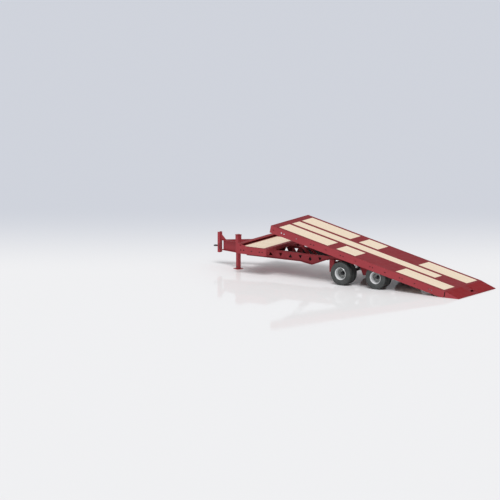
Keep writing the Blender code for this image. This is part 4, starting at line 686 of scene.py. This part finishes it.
def build_barrel(side, place, across):
    """Hollow barrel with its gland, base eye and two ports."""
    shape = bmesh.new()
    spin_profile(shape, CYLINDER_BARREL, 48)
    add_cone(shape, across * -EYE_HALF, across * EYE_HALF, EYE_RADIUS, sides=40)
    port_line = across.cross(UP)
    for height in (0.085, 0.785):
        foot = UP * height + port_line * 0.050
        add_cone(shape, foot, foot + port_line * 0.028, 0.0140, 0.0125, sides=20)
        add_cone(shape, foot, foot + port_line * 0.042, 0.0075, sides=6)
    seat(shape, place)
    new_piece(f"barrel_{side}", shape, RED, f"cylinder_{side}", [f"lift_cylinder_{side}"])


def build_base_pin(side, place, across):
    """Pin through the barrel's eye."""
    shape = bmesh.new()
    add_cone(shape, across * -0.032, across * 0.032, 0.0195, sides=32)
    seat(shape, place)
    new_piece(f"base_pin_{side}", shape, ZINC, f"cylinder_{side}")


def build_rod(side, place, across):
    """Chromed bar, and the eye with its pin at the bar's end."""
    low, high = frame_box(f"lift_rod_{side}", place)
    end = high.z - EYE_RADIUS
    bar = bmesh.new()
    outline = [(0.0, 0.3600), (0.0270, 0.3600), (0.0280, 0.3620), (0.0280, end - 0.058),
               (0.0250, end - 0.050), (0.0250, end - 0.030), (0.0, end - 0.030)]
    spin_profile(bar, outline, 48, place)
    new_piece(f"chrome_bar_{side}", bar, CHROME, f"rod_{side}", [f"lift_rod_{side}"])
    eye = bmesh.new()
    tip = UP * end
    add_cone(eye, tip + across * -EYE_HALF, tip + across * EYE_HALF, EYE_RADIUS, sides=40)
    add_cone(eye, tip + across * low.y, tip + across * high.y, 0.0200, sides=32)
    seat(eye, place)
    new_piece(f"rod_eye_{side}", eye, BLACK, f"rod_{side}")


def build_cylinder(side):
    """Lift cylinder drawn with +Z along its rod, and set between its two pins."""
    base = Vector(JOINTS[f"lift_cylinder_{side}_swing"]["pos_m"])
    axis = Vector(JOINTS[f"lift_rod_{side}_stroke"]["axis"])
    place = Matrix.Translation(base) @ axis.to_track_quat("Z", "Y").to_matrix().to_4x4()
    across = place.inverted().to_3x3() @ Vector((0, 1, 0))
    build_barrel(side, place, across)
    build_base_pin(side, place, across)
    build_rod(side, place, across)


for cylinder_side in SIDE_SIGN:
    build_cylinder(cylinder_side)


# Towing ring, tilting shaft and spring clamps

CLIP_EASE = 0.001


def build_towing_ring():
    """Forged ring on its shank, with a bolted flange plate on the coupler."""
    low, high = frame_box("drawbar_eye", CHASSIS_FRAME)
    ring = 0.058
    bar = 0.021
    flange = 0.025
    plate_front = low.x + flange
    centre = Vector((high.x - bar - ring, 0, (low.z + high.z) / 2))
    shape = bmesh.new()
    section = [(ring + bar * math.cos(FULL_TURN * step / 24), bar * math.sin(FULL_TURN * step / 24))
               for step in range(25)]
    spin_profile(shape, section, 56, Matrix.Translation(centre))
    shank_start = (plate_front - 0.002, 0, centre.z)
    shank_end = (centre.x - 0.062, 0, centre.z)
    add_cone(shape, shank_start, shank_end, 0.0345, 0.0215, sides=36)
    size = (flange, high.y - low.y, high.z - low.z)
    add_block(shape, size, Matrix.Translation((low.x + flange / 2, 0, centre.z)), 0.004)
    new_piece("towing_ring", shape, BLACK, "chassis", ["drawbar_eye"])
    bolts = bmesh.new()
    for across in (-0.036, 0.036):
        for rise in (-0.080, 0.080):
            add_bolt(bolts, (plate_front, across, centre.z + rise), (1, 0, 0), 0.011)
    new_piece("ring_bolts", bolts, ZINC, "chassis", smooth_angle=PLATE_ANGLE)


def build_shaft():
    """Tilting shaft with eased ends and three bolts in each."""
    low, high = frame_box("pivot_shaft", CHASSIS_FRAME)
    centre = Vector(((low.x + high.x) / 2, 0, (low.z + high.z) / 2))
    reach = high.y
    radius = 0.0498
    ease = 0.004
    bolt_circle = 0.026
    shape = bmesh.new()
    outline = [(0.0, -reach), (0.0460, -reach), (radius, -reach + ease), (radius, reach - ease),
               (0.0460, reach), (0.0, reach)]
    place = Matrix.Translation(centre) @ Matrix.Rotation(-math.pi / 2, 4, "X")
    spin_profile(shape, outline, 48, place)
    new_piece("tilting_shaft", shape, BLACK, "chassis", ["pivot_shaft"])
    bolts = bmesh.new()
    for sign in SIDE_SIGN.values():
        for step in range(3):
            angle = math.pi / 2 + FULL_TURN * step / 3
            spot = centre + Vector((bolt_circle * math.cos(angle), sign * (reach - 0.008),
                                    bolt_circle * math.sin(angle)))
            add_bolt(bolts, spot, (0, sign, 0), 0.0085)
    new_piece("shaft_bolts", bolts, ZINC, "chassis", smooth_angle=PLATE_ANGLE)


def build_spring_clamp(end, side):
    """Two U-bolts and their plates that hold a spring on its axle, and the spring's clips."""
    low, high = frame_box(f"spring_{end}_{side}", CHASSIS_FRAME)
    middle = Vector(JOINTS[f"wheel_{end}_{side}_spin"]["pos_m"])
    line = (low.y + high.y) / 2
    top = low.z + 0.052
    foot = middle.z - 0.0635
    leg_end = foot - 0.052
    saddle = top + 0.004
    bend_rise = 0.026
    half_width = 0.0475
    bars = bmesh.new()
    for along in (-0.0740, 0.0740):
        station = middle.x + along
        bend = []
        for step in range(13):
            angle = math.pi * step / 12
            bend.append((station, line - half_width * math.cos(angle),
                         saddle + bend_rise * math.sin(angle)))
        first_leg = (station, bend[0][1], leg_end)
        last_leg = (station, bend[-1][1], leg_end)
        tube_along(bars, [first_leg, *bend, last_leg], 0.0085)
        for across in (-half_width, half_width):
            add_bolt(bars, (station, line + across, foot - 0.020), (0, 0, -1), 0.0145)
    new_piece(f"u_bolts_{end}_{side}", bars, ZINC, "chassis")
    lower_plate = (0.190, 0.130, 0.016)
    upper_plate = (0.180, 0.078, 0.016)
    clip_strap = (0.034, 0.090, 0.006)
    clip_cheek = (0.034, 0.005, 0.056)
    plates = bmesh.new()
    for size, height in ((lower_plate, foot - 0.012), (upper_plate, top + 0.010)):
        add_block(plates, size, Matrix.Translation((middle.x, line, height)), 0.003)
    for along in (-0.330, 0.330):
        station = middle.x + along
        for rise in (-0.004, 0.046):
            place = Matrix.Translation((station, line, low.z + rise))
            add_block(plates, clip_strap, place, CLIP_EASE)
        for across in (-0.0425, 0.0425):
            place = Matrix.Translation((station, line + across, low.z + 0.021))
            add_block(plates, clip_cheek, place, CLIP_EASE)
    new_piece(f"clamp_plates_{end}_{side}", plates, BLACK, "chassis")


# Thin plates and jack pins

SHEET = 0.004
PAN_LEVEL = 0.586
PLATE_EASE = 0.001
LASHING_LINE = 1.196
LASHING_DROP = 0.131
LASHING_HEIGHT = 0.054
FIRST_LASHING = 0.526
LASHING_PITCH = 1.262


def add_sheet(shape, low, high, place=CHASSIS_FRAME):
    """Adds a flat plate between two corners."""
    low = Vector(low)
    high = Vector(high)
    add_block(shape, high - low, place @ Matrix.Translation((low + high) / 2), PLATE_EASE)


def build_belly_pan():
    """Sheet between the main rails, open where the lift cylinders swing down."""
    low, high = frame_box("frame_rail_left", CHASSIS_FRAME)
    inside = (low.y + high.y) / 2 - 0.0055
    back = 1.243
    slot_end = 2.070
    front = high.x - 0.080
    slot_low = 0.110
    slot_high = 0.260
    floor = PAN_LEVEL - SHEET / 2
    ceiling = PAN_LEVEL + SHEET / 2
    spans = [(back, slot_end, -slot_low, slot_low), (back, slot_end, slot_high, inside),
             (back, slot_end, -inside, -slot_high), (slot_end, front, -inside, inside)]
    sheets = bmesh.new()
    for start, end, right, left in spans:
        add_sheet(sheets, (start, right, floor), (end, left, ceiling))
    new_piece("belly_pan", sheets, RED, "chassis", smooth_angle=PLATE_ANGLE)


def build_rail_shade_plates():
    """Black plates inside the main rails, behind their rear openings, as painted shade that keeps
    the openings dark.
    """
    line = 0.448
    top = 0.800
    # Start, end and lower edge; the rail's own lower edge rises towards the rear
    spans = [(0.660, 0.980, 0.640), (0.980, 2.075, PAN_LEVEL + SHEET / 2)]
    shade_plates = bmesh.new()
    for sign in SIDE_SIGN.values():
        right = sign * line - SHEET / 2
        left = sign * line + SHEET / 2
        for start, end, foot in spans:
            add_sheet(shade_plates, (start, right, foot), (end, left, top))
    new_piece("rail_shade_plates", shade_plates, BLACK, "chassis",
              smooth_angle=PLATE_ANGLE)


def build_lashing_shade_backs():
    """Dark plates behind the lashing holes of the bed's side channels, as painted shade that keeps
    the holes dark.
    """
    for side, sign in SIDE_SIGN.items():
        low, high = frame_box(f"bed_side_{side}", BED_FRAME)
        plates = bmesh.new()
        for step in range(1, 5):
            middle = Vector((high.x - FIRST_LASHING - LASHING_PITCH * step, sign * LASHING_LINE,
                             high.z - LASHING_DROP))
            add_block(plates, (0.200, SHEET, LASHING_HEIGHT),
                      BED_FRAME @ Matrix.Translation(middle), PLATE_EASE)
        new_piece(f"lashing_shade_backs_{side}", plates, BLACK, "bed",
                  smooth_angle=PLATE_ANGLE)


def build_deck_lashing_shade_backs():
    """Dark plates behind the lashing holes of the front deck's sides, as painted shade that keeps
    the holes dark.
    """
    low, high = frame_box("front_deck_frame", CHASSIS_FRAME)
    size = (high.x - low.x - 0.060, SHEET, LASHING_HEIGHT)
    plates = bmesh.new()
    for sign in SIDE_SIGN.values():
        middle = Vector(((low.x + high.x) / 2, sign * LASHING_LINE, high.z - LASHING_DROP))
        add_block(plates, size, Matrix.Translation(middle), PLATE_EASE)
    new_piece("deck_lashing_shade_backs", plates, BLACK, "chassis",
              smooth_angle=PLATE_ANGLE)


def build_tail_shade_plates():
    """Two smooth plates in deeper red on the tail's slope, left and right of its middle: painted
    shade, so the bare middle stands lighter as a painted highlight.
    """
    low, high = frame_box("tail", BED_FRAME)
    corners = [BED_FRAME.inverted() @ vertex.co for vertex in NODES["tail"].data.vertices]
    tip_height = max(corner.z for corner in corners if corner.x < low.x + 0.001)
    slope = math.atan2(high.z - tip_height, high.x - low.x)
    length = math.hypot(high.z - tip_height, high.x - low.x)
    tip = Matrix.Translation((low.x, 0, tip_height))
    place = BED_FRAME @ tip @ Matrix.Rotation(-slope, 4, "Y")
    margin = 0.030
    thickness = 0.003
    plates = bmesh.new()
    for sign in SIDE_SIGN.values():
        right, left = sorted((sign * 0.150, sign * (high.y - 0.045)))
        add_sheet(plates, (margin, right, 0.0), (length - margin, left, thickness), place)
    new_piece("tail_shade_plates", plates, TAIL_SHADE_RED, "bed",
              smooth_angle=PLATE_ANGLE)


def build_jack_pins():
    """Two cross pins just above the foot of the jack's leg, square to its tube."""
    pin_height = 0.085
    clear_of_foot = 0.300
    tube = sorted({tuple(round(part, 5) for part in vertex.co.xy)
                   for vertex in NODES["jack_leg"].data.vertices if vertex.co.z > clear_of_foot})
    back, left, right = (Vector((*corner, pin_height)) for corner in tube[:3])
    across = left - back
    proud = across.normalized() * 0.003
    pins = bmesh.new()
    for share in (0.18, 0.82):
        spot = back + (right - back) * share
        add_cone(pins, spot - proud, spot + across + proud, 0.018, sides=20)
    new_piece("jack_pins", pins, BLACK, "jack")


build_towing_ring()
build_shaft()
build_belly_pan()
build_rail_shade_plates()
build_lashing_shade_backs()
build_deck_lashing_shade_backs()
build_tail_shade_plates()
build_jack_pins()
for wheel_end, wheel_side in WHEELS:
    build_spring_clamp(wheel_end, wheel_side)
smooth_copy("axle_front", BLACK)
smooth_copy("axle_rear", BLACK)
smooth_copy("hanger_tube_front", RED)
smooth_copy("hanger_tube_rear", RED)


# Floor, light and camera

VIEW = Vector((0.5274, -0.8298, -0.1826)).normalized()
FLOOR_REACH = 160
FADE_START = 1.0
FADE_END = 14.0
PICTURE_WIDTH = 17.593
PICTURE_CENTRE = Vector((5.812, -2.874, 0))
CAMERA_DISTANCE = 60


def pale_floor():
    """Smooth light floor that keeps the shadow and a faint reflection, bluer far away."""
    near = (0.89, 0.89, 0.90)
    far = (0.61, 0.635, 0.70)
    reflection = (0.95, 0.95, 0.96)
    reflection_share = 0.14
    shape = bmesh.new()
    bmesh.ops.create_grid(shape, x_segments=1, y_segments=1, size=FLOOR_REACH)
    mesh = bpy.data.meshes.new("floor")
    shape.to_mesh(mesh)
    shape.free()
    material = bpy.data.materials.new("pale_floor")
    nodes = NodeTree(material)
    place = nodes.add("ShaderNodeTexCoord", output="Object")
    east = nodes.add("ShaderNodeSeparateXYZ", inputs={0: place}, output="X")
    north = nodes.add("ShaderNodeSeparateXYZ", inputs={0: place}, output="Y")
    away = east * VIEW.x + north * VIEW.y
    fade = nodes.add("ShaderNodeMapRange", {"interpolation_type": "SMOOTHSTEP"},
                     {0: away, 1: FADE_START, 2: FADE_END})
    matt = nodes.add("ShaderNodeBsdfDiffuse", inputs={"Color": nodes.blend(fade, near, far)})
    shine = nodes.add("ShaderNodeBsdfGlossy", inputs={"Color": reflection, "Roughness": 0.06})
    both = nodes.add("ShaderNodeMixShader", inputs={0: reflection_share, 1: matt, 2: shine})
    nodes.feed("Material Output", "Surface", both)
    mesh.materials.append(material)
    floor = bpy.data.objects.new("floor", mesh)
    bpy.context.scene.collection.objects.link(floor)


def backdrop():
    """Plain white light from all round; the camera and reflections see a pale backdrop."""
    white = (1.0, 1.0, 1.0)
    pale = (0.78, 0.80, 0.84)
    world = bpy.data.worlds.new("studio")
    bpy.context.scene.world = world
    nodes = NodeTree(world)
    light = nodes.add("ShaderNodeBackground", inputs={"Color": white, "Strength": 0.50})
    seen = nodes.add("ShaderNodeBackground", inputs={"Color": pale})
    direct, glossy, through = (nodes.add("ShaderNodeLightPath", output=ray) for ray in (
        "Is Camera Ray", "Is Glossy Ray", "Is Transmission Ray"))
    share = (direct + glossy + through).clamped()
    both = nodes.add("ShaderNodeMixShader", inputs={0: share, 1: light, 2: seen})
    nodes.feed("World Output", "Surface", both)


def soft_lamp(name, direction, strength, spread):
    """A sun as wide as a studio's soft box."""
    lamp = bpy.data.lights.new(name, "SUN")
    lamp.energy = strength
    lamp.angle = math.radians(spread)
    holder = bpy.data.objects.new(name, lamp)
    holder.rotation_euler = Vector(direction).to_track_quat("-Z", "Y").to_euler()
    bpy.context.scene.collection.objects.link(holder)


def camera():
    """Parallel view from the trailer's left and rear, fitted to the photograph's frame."""
    right = VIEW.cross(UP).normalized()
    above = right.cross(VIEW)
    eye = bpy.data.cameras.new("photo_view")
    eye.type = "ORTHO"
    eye.ortho_scale = PICTURE_WIDTH
    eye.clip_end = 400
    holder = bpy.data.objects.new("photo_view", eye)
    turn = Matrix((right, above, -VIEW)).transposed().to_4x4()
    holder.matrix_world = Matrix.Translation(PICTURE_CENTRE - VIEW * CAMERA_DISTANCE) @ turn
    bpy.context.scene.collection.objects.link(holder)
    bpy.context.scene.camera = holder


pale_floor()
backdrop()
soft_lamp("key", direction=(0.24, -0.42, -0.88), strength=1.80, spread=28)
camera()
bpy.context.scene.view_settings.view_transform = "Standard"
